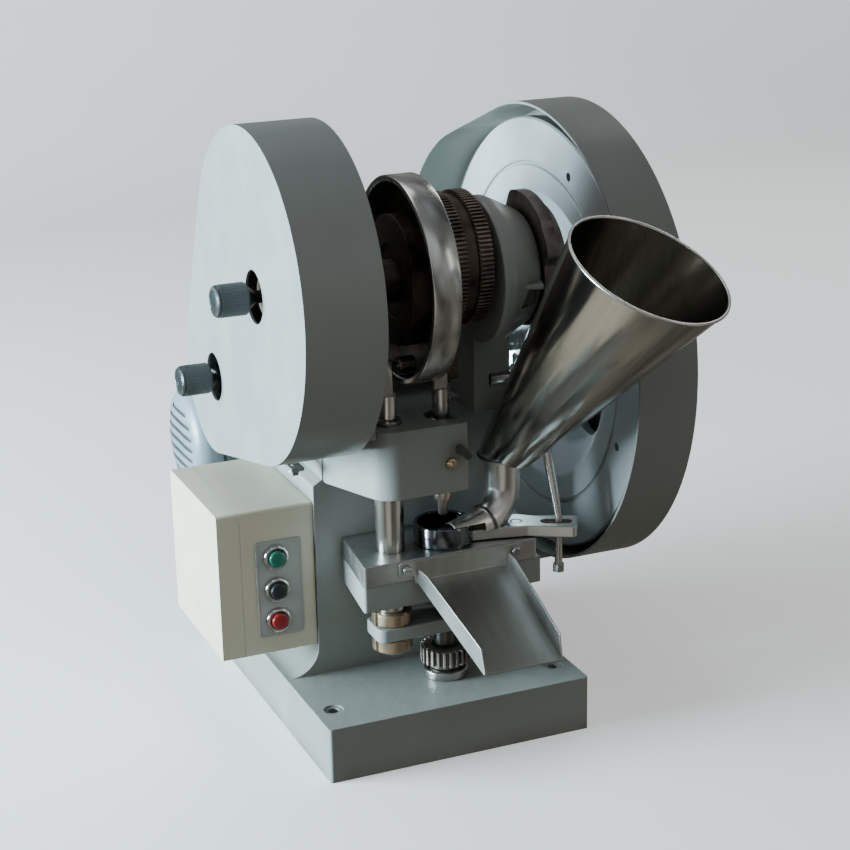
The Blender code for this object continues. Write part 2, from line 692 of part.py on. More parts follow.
def build_lift():
    origin = (LIFT_X, 0, BASE_TOP)
    profile = [
        (0, 92),
        (LIFT_RADIUS - 1, 92),
        (LIFT_RADIUS, 93),
        (LIFT_RADIUS, 331),
        (12, 333),
        (10, 334),
        (10, 356),
        (0, 356),
    ]
    lift = lathe("lifting_rod", profile, "Z", (LIFT_X, 0, 0), "machined_steel", origin, 20)
    hanger = box("lift_hanger", (LIFT_X - 6, LIFT_X + 5), (-8, 8), (345, ROLLER_Z + 8), bevel=1.5)
    pin = rod("roller_pin", "X", (0, 0, ROLLER_Z), 3.5, (LIFT_X, -13.5), steps=16)
    join(lift, hanger, pin)
    tube("lift_roller", "X", (0, 0, ROLLER_Z), 3.8, 8, (-30, -14.5), "machined_steel", steps=16)

    outline = rounded(
        [(-64, -20, 8), (36, -20, 4), (36, 20, 4), (-64, 20, 8)], 3
    )
    fork = prism("lifting_fork", outline, "Z", (109, 123), "grey_casting", origin, bevel=1.0)
    cut(
        fork,
        rod("fork_lift_bore", "Z", (LIFT_X, 0, 0), LIFT_RADIUS + GAP, (100, 130), steps=20),
        rod("fork_punch_bore", "Z", (PUNCH_X, 0, 0), 8.3, (100, 130), steps=16),
    )
    for side, low, high in (("upper", 123.3, 136.5), ("lower", 95.5, 108.7)):
        nut = tube(
            f"lift_nut_{side}", "Z", (LIFT_X, 0, 0), LIFT_RADIUS + GAP, 20, (low, high), "bronze", origin, 20
        )
        notch = box(f"nut_notch_{side}", (-64, -22), (-2.5, 2.5), (low + 4, high - 4))
        cross = box(f"nut_cross_{side}", (LIFT_X - 2.5, LIFT_X + 2.5), (-30, 30), (low + 4, high - 4))
        core = rod(f"nut_core_{side}", "Z", (LIFT_X, 0, 0), 18, (low, high), steps=20)
        cut(nut, cut(notch, core), cut(cross, core))

    profile = [
        (0, 90.5),
        (11.5, 90.5),
        (11.5, 108.5),
        (8, 108.5),
        (8, 150),
        (6, 152),
        (6, 188),
        (0, 188),
    ]
    lathe("lower_punch", profile, "Z", (PUNCH_X, 0, 0), "dark_steel", origin, 16)

    outline = toothed((PUNCH_X, 0), 25, 2.6, 18)
    fill = prism("fill_gear", outline, "Z", (71.5, 88), "gear_steel", (PUNCH_X, 0, BASE_TOP))
    join(fill, rod("fill_neck", "Z", (PUNCH_X, 0, 0), 16, (65.6, 75), steps=20))
    profile = [(0, BASE_TOP + GAP), (22.5, BASE_TOP + GAP), (22.5, 63.5), (21, 65), (0, 65)]
    lathe("fill_collar", profile, "Z", (PUNCH_X, 0, 0), "machined_steel", steps=24)


def build_feeder():
    origin = (FEEDER_X, FEEDER_Y, PLATE_TOP)
    low, high = PLATE_TOP + 0.5, 211.0
    ahead = Vector((math.cos(ARM_ANGLE), math.sin(ARM_ANGLE)))
    side = Vector((-ahead.y, ahead.x))
    pivot = Vector((FEEDER_X, FEEDER_Y))

    def at(along, across):
        point = pivot + ahead * along + side * across
        return (point.x, point.y)

    outline = rounded(
        [
            (*at(60, -16), 5),
            (*at(61, 17), 5),
            (*at(18, 16), 10),
            (*at(2, 20), 10),
            (66, 16, 14),
            (10, 14, 0),
            (10, -14, 0),
            (58, -22, 8),
            (*at(12, -13), 10),
        ],
        4,
    )
    arm = prism("feeder_arm", outline, "Z", (low, high), "aluminium", origin, bevel=1.0)
    slot = hull(((*at(30, 0), 6.5), (*at(49, 0), 6.499)), steps=24)
    cut(
        arm,
        prism("arm_slot", slot, "Z", (low - 5, high + 5)),
        rod("arm_bore", "Z", (FEEDER_X, FEEDER_Y, 0), 6.0 + GAP, (low - 5, high + 5), steps=16),
        rod("arm_cup", "Z", (PUNCH_X, 0, 0), 29.5 + GAP, (low - 5, high + 5), steps=24),
    )
    tube("feed_shoe", "Z", (PUNCH_X, 0, 0), 25.5, 29.5, (low, 219.5), "stainless", origin, 24)

    bolt = [(0, 165), (6, 165), (6, 209.8), (5, 210.8), (0, 210.8)]
    lathe("feeder_pivot", bolt, "Z", (FEEDER_X, FEEDER_Y, 0), "machined_steel", steps=16)

    path = [
        ((78.0, 0.0, 281.2), 17.0),
        ((78.0, 0.0, 251.0), 17.0),
        ((76.0, -1.2, 238.0), 17.0),
        ((69.0, -4.4, 225.5), 17.0),
        ((56.0, -9.0, 216.5), 16.5),
        ((36.0, -14.8, 212.5), 15.0),
        ((12.0, -20.5, 211.5), 12.0),
    ]
    outer = []
    inner = []
    points = [Vector(point) for point, _ in path]
    for i, (point, radius) in enumerate(path):
        before = points[max(i - 1, 0)]
        after = points[min(i + 1, len(points) - 1)]
        outer.append(ring_across(point, after - before, radius, 16))
        inner.append(ring_across(point, after - before, radius - 1.5, 16))
    elbow = loft("feeder_elbow", outer + inner[::-1], "stainless", origin)
    low_side = box("elbow_foot", (-40, 110), (-70, 30), (170, high + GAP))
    over_shoe = box("elbow_mouth", (-40, 47), (-70, 30), (190, 220.4))
    cut(elbow, low_side, over_shoe)

    lean = (HOPPER_MOUTH - HOPPER_THROAT).normalized()
    stages = [
        (HOPPER_THROAT, Vector((0, 0, 1)), 24.0),
        (HOPPER_THROAT + lean * 20, lean, 28.0),
        (HOPPER_MOUTH, HOPPER_RIM, 76.7),
    ]
    outer = [ring_across(middle, aim, radius, 32) for middle, aim, radius in stages]
    inner = [ring_across(middle, aim, radius - 1.8, 32) for middle, aim, radius in stages]
    inner[0] = ring_across(HOPPER_THROAT, (0, 0, 1), 15.5, 32)
    loft("hopper", outer + inner[::-1], "stainless", origin)


def build_lever():
    centre = (0, LEVER_Y, LEVER_Z)
    pin = [(0, 71), (6, 71), (6, 127), (9, 127), (9, 132), (0, 132)]
    lathe("lever_pin", pin, "X", centre, "machined_steel", steps=16)
    lever = rod("feeder_lever", "X", centre, 12, (97, 126), "machined_steel", centre, steps=20)
    low = Vector((*LEVER_FOOT, 216.0))
    end = Vector((*LEVER_FOOT, 164.0))
    top = Vector((118, LEVER_Y - 2, LEVER_Z - 5))
    stages = ((top, low - top, 6.5), (low, end - top, 3.9), (end, end - low, 3.9))
    stem = [ring_across(point, aim, radius, 12) for point, aim, radius in stages]
    stem = loft("lever_stem", stem, capped=True)
    nut = rod("lever_nut", "Z", (*LEVER_FOOT, 0), 6.2, (158, 166), steps=6)
    arm = box(
        "lever_arm", (98, 109), (LEVER_Y - 8, LEVER_Y + 7), (LEVER_Z, LEVER_Z + 22), bevel=2.0
    )
    join(lever, stem, nut, arm)
    cut(lever, rod("lever_hub_bore", "X", centre, 6.0 + GAP, (90, 135), steps=16))


def build_motor():
    centre = (0, MOTOR_Y, MOTOR_Z)
    r = MOTOR_RADIUS
    profile = [(0, -108), (r - 4, -108), (r, -104), (r, 96), (r - 6, 104), (24, 112), (24, 122), (0, 122)]
    body = lathe("motor", profile, "X", centre, "motor_paint", steps=28)
    feet = box("motor_feet", (-70, 70), (MOTOR_Y - 55, MOTOR_Y + 55), (MOTOR_Z - r - 4, MOTOR_Z - r + 10))
    join(body, feet)
    for index in range(10):
        angle = 2 * math.pi * (index + 0.5) / 10
        if math.sin(angle) < -0.6:
            continue
        y = MOTOR_Y + r * math.cos(angle)
        z = MOTOR_Z + r * math.sin(angle)
        fin = box(f"motor_fin_{index}", (-92, 84), (y - 2, y + 2), (z - 2, z + 2))
        cut(body, fin)
    rod("motor_axle", "X", centre, 9, (122.3, 224), "machined_steel", steps=20)
    cap = [(0, -142), (30, -142), (r - 12, -139), (r - 2, -130), (r, -122), (r, -108.3), (0, -108.3)]
    fan = lathe("fan_cover", cap, "X", centre, "motor_paint", steps=24)
    for index in range(4):
        z = MOTOR_Z - 27 + 18 * index
        cut(fan, box(f"fan_slot_{index}", (-150, -134), (MOTOR_Y - 30, MOTOR_Y + 30), (z - 3, z + 3)))
    crown = MOTOR_Z + r
    terminal_y = (MOTOR_Y - 25, MOTOR_Y + 25)
    box("terminal_box", (-40, 20), terminal_y, (crown + GAP, crown + 28), "motor_paint", bevel=2.0)
    top = MOTOR_Z - r - 4 - GAP
    depth = (COLUMN_BACK + GAP, 470)
    plate = box("motor_bracket", (-95, 95), depth, (top - 9, top), "grey_casting", bevel=1.0)
    upright = box("motor_upright", (-95, 95), (COLUMN_BACK + GAP, COLUMN_BACK + 10), (62, top - 2))
    join(plate, upright)
    for side in (-1, 1):
        web = [(COLUMN_BACK + 4, 66), (COLUMN_BACK + 4, top - 5), (452, top - 5), (452, top - 16)]
        join(plate, prism(f"motor_web_{side}", web, "X", (side * 86 - 5, side * 86 + 5)))

    pulley_r = 40.0
    profile = [
        (9.3, -14),
        (pulley_r, -14),
        (pulley_r, -8),
        (pulley_r - 13, -4),
        (pulley_r - 13, 4),
        (pulley_r, 8),
        (pulley_r, 14),
        (9.3, 14),
    ]
    lathe("motor_pulley", profile, "X", (207, MOTOR_Y, MOTOR_Z), "dark_steel", steps=20)
    outer = hull(((DRIVE_Y, DRIVE_Z, FLYWHEEL_RADIUS - 3), (MOTOR_Y, MOTOR_Z, pulley_r - 3)), steps=32)
    inner = hull(((DRIVE_Y, DRIVE_Z, FLYWHEEL_RADIUS - 12), (MOTOR_Y, MOTOR_Z, pulley_r - 12)), steps=32)
    bands = []
    for half, outline in ((3.0, inner), (4.6, outer)):
        bands.append([(207 - half, y, z) for y, z in outline])
        bands.append([(207 + half, y, z) for y, z in outline])
    loft("v_belt", [bands[0], bands[1], bands[3], bands[2]], "belt_rubber")


def build_control_box():
    seam = BOX_X[0] + 23
    wall = 1.8
    body = box("control_box", (seam + GAP, BOX_X[1]), BOX_Y, BOX_Z, "cream_paint", bevel=1.2)
    inside_y = (BOX_Y[0] + wall, BOX_Y[1] - wall)
    inside_z = (BOX_Z[0] + wall, BOX_Z[1] - wall)
    cut(body, box("box_hollow", (seam - 5, BOX_X[1] - wall), inside_y, inside_z))
    lid = box("control_box_lid", (BOX_X[0], seam), BOX_Y, BOX_Z, "cream_paint", bevel=1.2)
    cut(lid, box("lid_hollow", (BOX_X[0] + wall, seam + 5), inside_y, inside_z))
    panel = box(
        "control_panel",
        (BUTTON_X - 20, BUTTON_X + 27),
        (BOX_Y[0] - GAP - 1.2, BOX_Y[0] - GAP),
        (106, 206),
        "panel_grey",
        bevel=0.3,
    )
    colours = {"start": "green_plastic", "jog": "black_plastic", "stop": "red_plastic"}
    for name, z in BUTTON_Z.items():
        centre = (BUTTON_X, BOX_Y[0], z)
        hole = rod(f"{name}_hole", "Y", centre, 8.6, (-12, 12), steps=16)
        cut(body, hole)
        cut(panel, hole)
        front = 1.5 + 2 * GAP
        profile = [(9.4, front), (13, front), (13, front + 3), (11.8, front + 4.4), (9.4, front + 4.4)]
        lathe(f"{name}_bezel", profile, "-Y", centre, "chrome", steps=16)
        profile = [(0, -9), (8.2, -9), (8.2, front + 7), (7.6, front + 8), (0, front + 8)]
        lathe(f"{name}_button", profile, "-Y", centre, colours[name], steps=16)


def build_fittings():
    nipple = [(0, -8), (2.9, -8), (2.9, 0.3), (5.2, 0.3), (5.2, 4), (2.6, 5), (2.6, 8.5), (0, 8.5)]
    lathe("oil_nipple", nipple, "-Y", (8.5, HEAD_FRONT, 290), "bronze", steps=12)
    x, z = 18.5, 302
    stem = [(0, -8), (2.9, -8), (2.9, 0.3), (4.5, 0.3), (4.5, 9), (0, 9)]
    wing = lathe("wing_screw", stem, "-Y", (x, HEAD_FRONT, z), "machined_steel", steps=12)
    bar = rounded([(x - 3, z + 9, 2), (x - 9, z + 5, 2), (x + 3, z - 9, 2), (x + 9, z - 5, 2)], 2)
    join(wing, prism("wing_bar", bar, "Y", (HEAD_FRONT - 11, HEAD_FRONT - 7)))


build_frame()
build_table()
build_chute()
build_covers()
build_main_shaft()
build_drive_shaft()
build_grease_cups()
build_punch()
build_lift()
build_feeder()
build_lever()
build_motor()
build_control_box()
build_fittings()
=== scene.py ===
"""Looks of the bench tablet press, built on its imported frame.

The builders' lengths are millimetres, in the same axes as the frame.
"""

import json
import math

import bmesh
import bpy
from mathutils import Matrix, Vector

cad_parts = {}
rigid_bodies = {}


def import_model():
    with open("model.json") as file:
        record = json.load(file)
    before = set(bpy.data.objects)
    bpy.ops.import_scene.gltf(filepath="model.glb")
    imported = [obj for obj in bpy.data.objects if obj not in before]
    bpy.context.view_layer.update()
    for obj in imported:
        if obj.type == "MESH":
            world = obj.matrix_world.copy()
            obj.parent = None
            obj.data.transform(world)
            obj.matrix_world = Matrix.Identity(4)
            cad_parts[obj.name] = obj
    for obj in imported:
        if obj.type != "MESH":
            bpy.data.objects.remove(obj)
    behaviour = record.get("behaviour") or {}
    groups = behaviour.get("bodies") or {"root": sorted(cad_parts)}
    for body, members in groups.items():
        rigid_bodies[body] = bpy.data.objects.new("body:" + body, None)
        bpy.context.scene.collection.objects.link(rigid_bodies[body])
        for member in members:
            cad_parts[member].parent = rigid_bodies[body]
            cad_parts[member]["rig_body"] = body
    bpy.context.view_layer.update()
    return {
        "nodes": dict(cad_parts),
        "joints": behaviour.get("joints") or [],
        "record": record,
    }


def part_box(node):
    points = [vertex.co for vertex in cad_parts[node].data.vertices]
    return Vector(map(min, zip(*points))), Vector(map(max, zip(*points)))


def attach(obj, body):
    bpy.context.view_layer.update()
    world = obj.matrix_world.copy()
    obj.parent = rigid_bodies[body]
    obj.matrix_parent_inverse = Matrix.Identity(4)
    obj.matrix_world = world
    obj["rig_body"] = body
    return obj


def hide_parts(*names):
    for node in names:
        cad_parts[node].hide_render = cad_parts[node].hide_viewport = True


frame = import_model()

MM = 0.001
NODES = frame["nodes"]
SLOTS = {part["node"]: part["material_slot"] for part in frame["record"]["subparts"]}
AXES = {joint["child"]: Vector(joint["pos_m"]) / MM for joint in frame["joints"] if "pos_m" in joint}
MAIN = AXES["main"]
DRIVE = AXES["drive"]
MOTOR = AXES["motor_rotor"]
FEEDER = AXES["feeder"]
LEVER = AXES["lever"]


def span(node, axis):
    """The lowest and highest place of a CAD node along an axis, in millimetres."""
    low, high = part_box(node)
    place = "XYZ".index(axis)
    return low[place] / MM, high[place] / MM


def middle(node):
    low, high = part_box(node)
    return (low + high) / 2 / MM


PUNCH_X = middle("upper_punch").x
LIFT_X = middle("lift_nut_upper").x
HEAD_FRONT = span("wing_screw", "Y")[1] - 8
BUTTONS = ("start", "jog", "stop")


# Materials


class Look:
    """One Principled material built from noise in object space."""

    def __init__(self, name, metallic=0.0, roughness=0.4, coat=0.0):
        self.material = bpy.data.materials.new(name)
        self.material.use_nodes = True
        self.tree = self.material.node_tree
        self.shader = self.tree.nodes["Principled BSDF"]
        self.shader.inputs["Metallic"].default_value = metallic
        self.shader.inputs["Roughness"].default_value = roughness
        self.shader.inputs["Coat Weight"].default_value = coat
        self.shader.inputs["Coat Roughness"].default_value = 0.25
        self.place = self.add("ShaderNodeTexCoord").outputs["Object"]
        self.normal = None

    def add(self, kind, **settings):
        node = self.tree.nodes.new(kind)
        for key, value in settings.items():
            setattr(node, key, value)
        return node

    def feed(self, value, socket):
        """Links an output, or sets a plain value."""
        if isinstance(value, bpy.types.NodeSocket):
            self.tree.links.new(value, socket)
        elif isinstance(value, tuple) and len(value) == 3 and socket.type == "RGBA":
            socket.default_value = (*value, 1.0)
        else:
            socket.default_value = value

    def noise(self, scale, detail=3.0, stretch=(1.0, 1.0, 1.0), where=None, turn=(0.0, 0.0, 0.0)):
        mapping = self.add("ShaderNodeMapping")
        self.feed(where or self.place, mapping.inputs["Vector"])
        mapping.inputs["Rotation"].default_value = turn
        mapping.inputs["Scale"].default_value = stretch
        noise = self.add("ShaderNodeTexNoise")
        self.feed(mapping.outputs["Vector"], noise.inputs["Vector"])
        noise.inputs["Scale"].default_value = scale
        noise.inputs["Detail"].default_value = detail
        return noise.outputs["Fac"]

    def turned(self, axis, centre, scale):
        """Noise that varies only along an axis and outwards from it, as turning leaves it."""
        parts = self.add("ShaderNodeSeparateXYZ")
        self.feed(self.place, parts.inputs[0])
        place = "XYZ".index(axis)
        squares = []
        for i in range(3):
            if i != place:
                away = self.math("SUBTRACT", parts.outputs[i], centre[i] * MM)
                squares.append(self.math("MULTIPLY", away, away))
        radius = self.math("SQRT", self.math("ADD", *squares), 0.0)
        joined = self.add("ShaderNodeCombineXYZ")
        self.feed(parts.outputs[place], joined.inputs[0])
        self.feed(radius, joined.inputs[1])
        return self.noise(scale, 4.0, where=joined.outputs[0])

    def math(self, operation, first, second):
        node = self.add("ShaderNodeMath", operation=operation)
        self.feed(first, node.inputs[0])
        self.feed(second, node.inputs[1])
        return node.outputs[0]

    def remap(self, value, low, high, to_low=0.0, to_high=1.0):
        node = self.add("ShaderNodeMapRange")
        for index, item in enumerate((value, low, high, to_low, to_high)):
            self.feed(item, node.inputs[index])
        return node.outputs[0]

    def mix(self, share, first, second):
        node = self.add("ShaderNodeMix", data_type="RGBA")
        self.feed(share, node.inputs[0])
        self.feed(first, node.inputs[6])
        self.feed(second, node.inputs[7])
        return node.outputs[2]

    def corner_shade(self, distance, low=0.35, high=0.9):
        """Painted shade mask from ambient occlusion: 1 deep in a corner, 0 on an open face."""
        shade = self.add("ShaderNodeAmbientOcclusion", samples=4, only_local=False)
        shade.inputs["Distance"].default_value = distance
        return self.remap(shade.outputs["AO"], low, high, 1.0, 0.0)

    def edges(self, radius):
        """1 on an outer or inner edge, 0 on a face. It also rounds the edges that light falls on."""
        bevel = self.add("ShaderNodeBevel", samples=4)
        bevel.inputs["Radius"].default_value = radius
        self.normal = bevel.outputs["Normal"]
        face = self.add("ShaderNodeNewGeometry")
        dot = self.add("ShaderNodeVectorMath", operation="DOT_PRODUCT")
        self.feed(bevel.outputs["Normal"], dot.inputs[0])
        self.feed(face.outputs["Normal"], dot.inputs[1])
        return self.remap(dot.outputs["Value"], 0.985, 0.86)

    def bump(self, height, distance, strength=1.0):
        node = self.add("ShaderNodeBump")
        node.inputs["Strength"].default_value = strength
        node.inputs["Distance"].default_value = distance
        self.feed(height, node.inputs["Height"])
        if self.normal is not None:
            self.feed(self.normal, node.inputs["Normal"])
        self.normal = node.outputs["Normal"]

    def done(self, colour, roughness=None):
        self.feed(colour, self.shader.inputs["Base Color"])
        if roughness is not None:
            self.feed(roughness, self.shader.inputs["Roughness"])
        if self.normal is not None:
            self.feed(self.normal, self.shader.inputs["Normal"])
        return self.material


def shade(colour, share):
    return tuple(channel * share for channel in colour)


def paint(name, colour, cast=False, edge=(0.55, 0.58, 0.58), dirt_and_shade=(0.10, 0.09, 0.07)):
    """Sprayed machine paint: faint clouds, orange peel, soiled corners darkened further with painted shade,
    and rubbed edges.
    """
    look = Look(name, roughness=0.36, coat=0.12)
    rim = look.edges(0.0016 if cast else 0.0009)
    clouds = look.noise(7.0, 4.0)
    specks = look.noise(240.0, 2.0)
    tone = look.mix(look.remap(clouds, 0.3, 0.7), shade(colour, 0.93), shade(colour, 1.05))
    tone = look.mix(look.remap(specks, 0.68, 0.76, 0.0, 0.22), tone, shade(colour, 0.6))
    worn = look.math("MULTIPLY", rim, look.remap(look.noise(55.0), 0.45, 0.62))
    tone = look.mix(look.math("MULTIPLY", worn, 0.55), tone, edge)
    # Painted shade: ambient occlusion darkens the corners towards a dark soil colour, broken up by noise.
    corner_dirt_and_shade = look.math("MULTIPLY", look.corner_shade(0.022), look.remap(look.noise(18.0), 0.3, 0.7, 0.25, 0.8))
    tone = look.mix(corner_dirt_and_shade, tone, dirt_and_shade)
    if cast:
        look.bump(look.noise(85.0, 3.0), 0.0009, 0.35)
        look.bump(look.noise(420.0, 2.0), 0.0003, 0.3)
    else:
        look.bump(look.noise(26.0, 1.0), 0.0012, 0.12)
        look.bump(look.noise(520.0, 2.0), 0.00018, 0.25)
    return look.done(tone, look.remap(look.noise(22.0), 0.3, 0.7, 0.28, 0.46))


def steel(
    name,
    colour,
    axis=None,
    centre=(0.0, 0.0, 0.0),
    polish=0.24,
    stain_and_shade=(0.16, 0.12, 0.09),
    amount=0.35,
):
    """Machined steel with turning or grinding lines, oil stains, painted shade in the corners and bright
    edges.
    """
    look = Look(name, metallic=1.0, roughness=polish)
    rim = look.edges(0.0005)
    if axis:
        lines = look.turned(axis, centre, 1500.0)
    else:
        lines = look.noise(60.0, 4.0, (1.0, 22.0, 22.0))
    tone = look.mix(look.remap(lines, 0.3, 0.7), shade(colour, 0.92), shade(colour, 1.05))
    spots = look.math("MULTIPLY", look.remap(look.noise(38.0, 5.0), 0.52, 0.7), amount)
    tone = look.mix(spots, tone, stain_and_shade)
    # Painted shade: corners darkened by ambient occlusion.
    tone = look.mix(look.math("MULTIPLY", look.corner_shade(0.012), 0.6), tone, shade(stain_and_shade, 0.4))
    tone = look.mix(look.math("MULTIPLY", rim, 0.4), tone, (0.8, 0.8, 0.78))
    look.bump(lines, 0.0001, 0.2)
    rough = look.remap(lines, 0.25, 0.75, polish * 0.85, polish * 1.2)
    rough = look.math("ADD", rough, look.math("MULTIPLY", spots, 0.5))
    return look.done(tone, rough)


def sheet_steel(name, colour, stretch, polish=0.16, turn=(0.0, 0.0, 0.0)):
    """Polished stainless sheet with fine brushing one way, smears and a few scratches."""
    look = Look(name, metallic=1.0, roughness=polish)
    look.edges(0.0005)
    brush = look.noise(9.0, 5.0, stretch, turn=turn)
    smear = look.noise(11.0, 4.0)
    scratch = look.noise(30.0, 2.0, (1.0, 0.04, 1.0), turn=(0.4, 0.9, 0.3))
    tone = look.mix(look.remap(brush, 0.3, 0.7), shade(colour, 0.9), shade(colour, 1.06))
    tone = look.mix(look.remap(smear, 0.5, 0.75, 0.0, 0.3), tone, shade(colour, 0.6))
    look.bump(brush, 0.00012, 0.12)
    look.bump(look.remap(scratch, 0.64, 0.66), 0.00008, 0.3)
    look.bump(look.noise(14.0, 2.0), 0.0016, 0.12)
    rough = look.remap(brush, 0.25, 0.75, polish * 0.8, polish * 1.3)
    rough = look.math("ADD", rough, look.remap(smear, 0.4, 0.8, 0.0, 0.1))
    return look.done(tone, rough)


def rusty(name, dark, light):
    """Greased steel with a brown film, painted shade in its corners, rubbed bright on its edges."""
    look = Look(name, metallic=0.75, roughness=0.5)
    rim = look.edges(0.0006)
    film = look.noise(45.0, 6.0)
    tone = look.mix(look.remap(film, 0.35, 0.65), dark, light)
    # Painted shade: corners darkened by ambient occlusion.
    tone = look.mix(look.math("MULTIPLY", look.corner_shade(0.008), 0.85), tone, shade(dark, 0.25))
    worn = look.math("MULTIPLY", rim, look.remap(film, 0.3, 0.6, 0.2, 0.75))
    tone = look.mix(worn, tone, (0.5, 0.46, 0.42))
    look.bump(film, 0.0004, 0.3)
    look.bump(look.noise(700.0, 2.0), 0.0002, 0.3)
    return look.done(tone, look.remap(film, 0.3, 0.7, 0.32, 0.62))


def silver(name, colour, axis, centre):
    """Silver paint over turned iron: a soft sheen, faint turning lines, and painted shade in the corners."""
    look = Look(name, metallic=0.55, roughness=0.36, coat=0.15)
    rim = look.edges(0.0012)
    lines = look.turned(axis, centre, 500.0)
    clouds = look.noise(9.0, 4.0)
    tone = look.mix(look.remap(clouds, 0.3, 0.7), shade(colour, 0.9), shade(colour, 1.06))
    tone = look.mix(look.math("MULTIPLY", look.remap(lines, 0.35, 0.65), 0.24), tone, shade(colour, 0.55))
    # Painted shade: corners darkened by ambient occlusion.
    tone = look.mix(look.math("MULTIPLY", look.corner_shade(0.03), 0.6), tone, (0.10, 0.10, 0.09))
    tone = look.mix(look.math("MULTIPLY", rim, 0.5), tone, (0.78, 0.80, 0.80))
    look.bump(lines, 0.0002, 0.3)
    look.bump(look.noise(320.0, 2.0), 0.0002, 0.2)
    return look.done(tone, look.remap(clouds, 0.3, 0.7, 0.30, 0.44))


def moulded(name, colour, roughness=0.34, grain=900.0):
    """Moulded plastic with a fine grain, dusty corners darkened further with painted shade, and slightly
    dulled edges.
    """
    look = Look(name, roughness=roughness, coat=0.25)
    rim = look.edges(0.0005)
    # Painted shade: ambient occlusion darkens the corners, broken up by noise as dust.
    dust_and_shade = look.math("MULTIPLY", look.corner_shade(0.006), look.remap(look.noise(90.0), 0.35, 0.65, 0.2, 0.6))
    tone = look.mix(look.remap(look.noise(30.0), 0.3, 0.7), shade(colour, 0.88), shade(colour, 1.12))
    tone = look.mix(dust_and_shade, tone, (0.16, 0.15, 0.13))
    tone = look.mix(look.math("MULTIPLY", rim, 0.25), tone, tuple(min(1.0, c * 1.8 + 0.08) for c in colour))
    look.bump(look.noise(grain, 2.0), 0.00012, 0.25)
    return look.done(tone, look.remap(look.noise(60.0), 0.3, 0.7, roughness * 0.8, roughness * 1.3))


GREY = (0.262, 0.278, 0.262)
LOOKS = {
    "grey_casting": paint("casting_paint", GREY, cast=True),
    "cover_paint": paint("cover_paint", (0.275, 0.297, 0.285)),
    "guard_paint": paint("guard_paint", (0.235, 0.248, 0.232)),
    "motor_paint": paint("motor_paint", (0.20, 0.25, 0.29), cast=True),
    "cream_paint": paint("cream_paint", (0.70, 0.66, 0.51), edge=(0.75, 0.73, 0.65), dirt_and_shade=(0.22, 0.19, 0.13)),
    "panel_grey": moulded("panel_overlay", (0.42, 0.43, 0.41), 0.45, 400.0),
    "stainless": sheet_steel("polished_sheet", (0.60, 0.59, 0.56), (30.0, 1.0, 1.0)),
    "machined_steel": steel("ground_steel", (0.56, 0.56, 0.54)),
    "dark_steel": steel("oiled_steel", (0.13, 0.13, 0.13), polish=0.34),
    "gear_steel": rusty("gear_steel", (0.085, 0.058, 0.045), (0.33, 0.25, 0.21)),
    "aluminium": steel(
        "milled_aluminium", (0.70, 0.70, 0.67), polish=0.32, stain_and_shade=(0.35, 0.33, 0.29), amount=0.2
    ),
    "bronze": steel("turned_bronze", (0.55, 0.42, 0.26), polish=0.36, stain_and_shade=(0.14, 0.09, 0.05)),
    "chrome": steel("bezel_chrome", (0.78, 0.78, 0.78), polish=0.12, amount=0.1),
    "black_plastic": moulded("black_knob", (0.016, 0.021, 0.024), 0.32),
    "green_plastic": moulded("green_button", (0.012, 0.16, 0.10), 0.28),
    "red_plastic": moulded("red_button", (0.30, 0.016, 0.018), 0.28),
    "belt_rubber": moulded("belt_rubber", (0.022, 0.021, 0.020), 0.7, 350.0),
}
TURNED = {
    "main": steel("turned_on_main_shaft", (0.56, 0.56, 0.54), "X", MAIN, 0.22),
    "drive": steel("turned_on_drive_shaft", (0.60, 0.61, 0.61), "X", DRIVE, 0.26, amount=0.2),
    "punch": steel("turned_on_punch_axis", (0.56, 0.55, 0.52), "Z", (PUNCH_X, 0, 0), 0.25),
    "rusty_punch": steel("browned_punch_rod", (0.56, 0.50, 0.46), "Z", (PUNCH_X, 0, 0), 0.32, amount=0.3),
    "lift": steel("turned_on_lifting_rod", (0.66, 0.65, 0.61), "Z", (LIFT_X, 0, 0), 0.2, amount=0.2),
    "nuts": steel("bronze_on_lifting_rod", (0.52, 0.42, 0.29), "Z", (LIFT_X, 0, 0), 0.34),
    "hopper": sheet_steel("hopper_sheet", (0.57, 0.56, 0.52), (24.0, 1.0, 1.0), 0.13, (0.72, 0.0, 0.22)),
    "elbow": sheet_steel("elbow_sheet", (0.70, 0.69, 0.66), (6.0, 6.0, 1.0), 0.24),
    "greased": rusty("greased_steel", (0.035, 0.027, 0.022), (0.15, 0.11, 0.085)),
    "flywheel": silver("flywheel_silver", (0.60, 0.64, 0.65), "X", DRIVE),
}


# Shapes


def make(name, bm):
    bmesh.ops.recalc_face_normals(bm, faces=bm.faces)
    bmesh.ops.scale(bm, vec=(MM, MM, MM), verts=bm.verts)
    mesh = bpy.data.meshes.new(name)
    bm.to_mesh(mesh)
    bm.free()
    obj = bpy.data.objects.new(name, mesh)
    bpy.context.scene.collection.objects.link(obj)
    return obj


def circle(centre, radius, steps, start=0.0, sweep=2 * math.pi):
    count = steps if sweep == 2 * math.pi else steps + 1
    angles = [start + sweep * i / steps for i in range(count)]
    return [(centre[0] + radius * math.cos(a), centre[1] + radius * math.sin(a)) for a in angles]


def hull(circles, grow=0.0, steps=160):
    """The outline of a band stretched round two circles, each (first, second, radius)."""
    (ax, ay, ar), (bx, by, br) = circles
    heading = math.atan2(by - ay, bx - ax)
    lean = math.acos((ar - br) / math.hypot(bx - ax, by - ay))
    near_steps = round(steps * (1 - lean / math.pi))
    far_steps = round(steps * lean / math.pi)
    near = circle((ax, ay), ar + grow, near_steps, heading + lean, 2 * math.pi - 2 * lean)
    return near + circle((bx, by), br + grow, far_steps, heading - lean, 2 * lean)


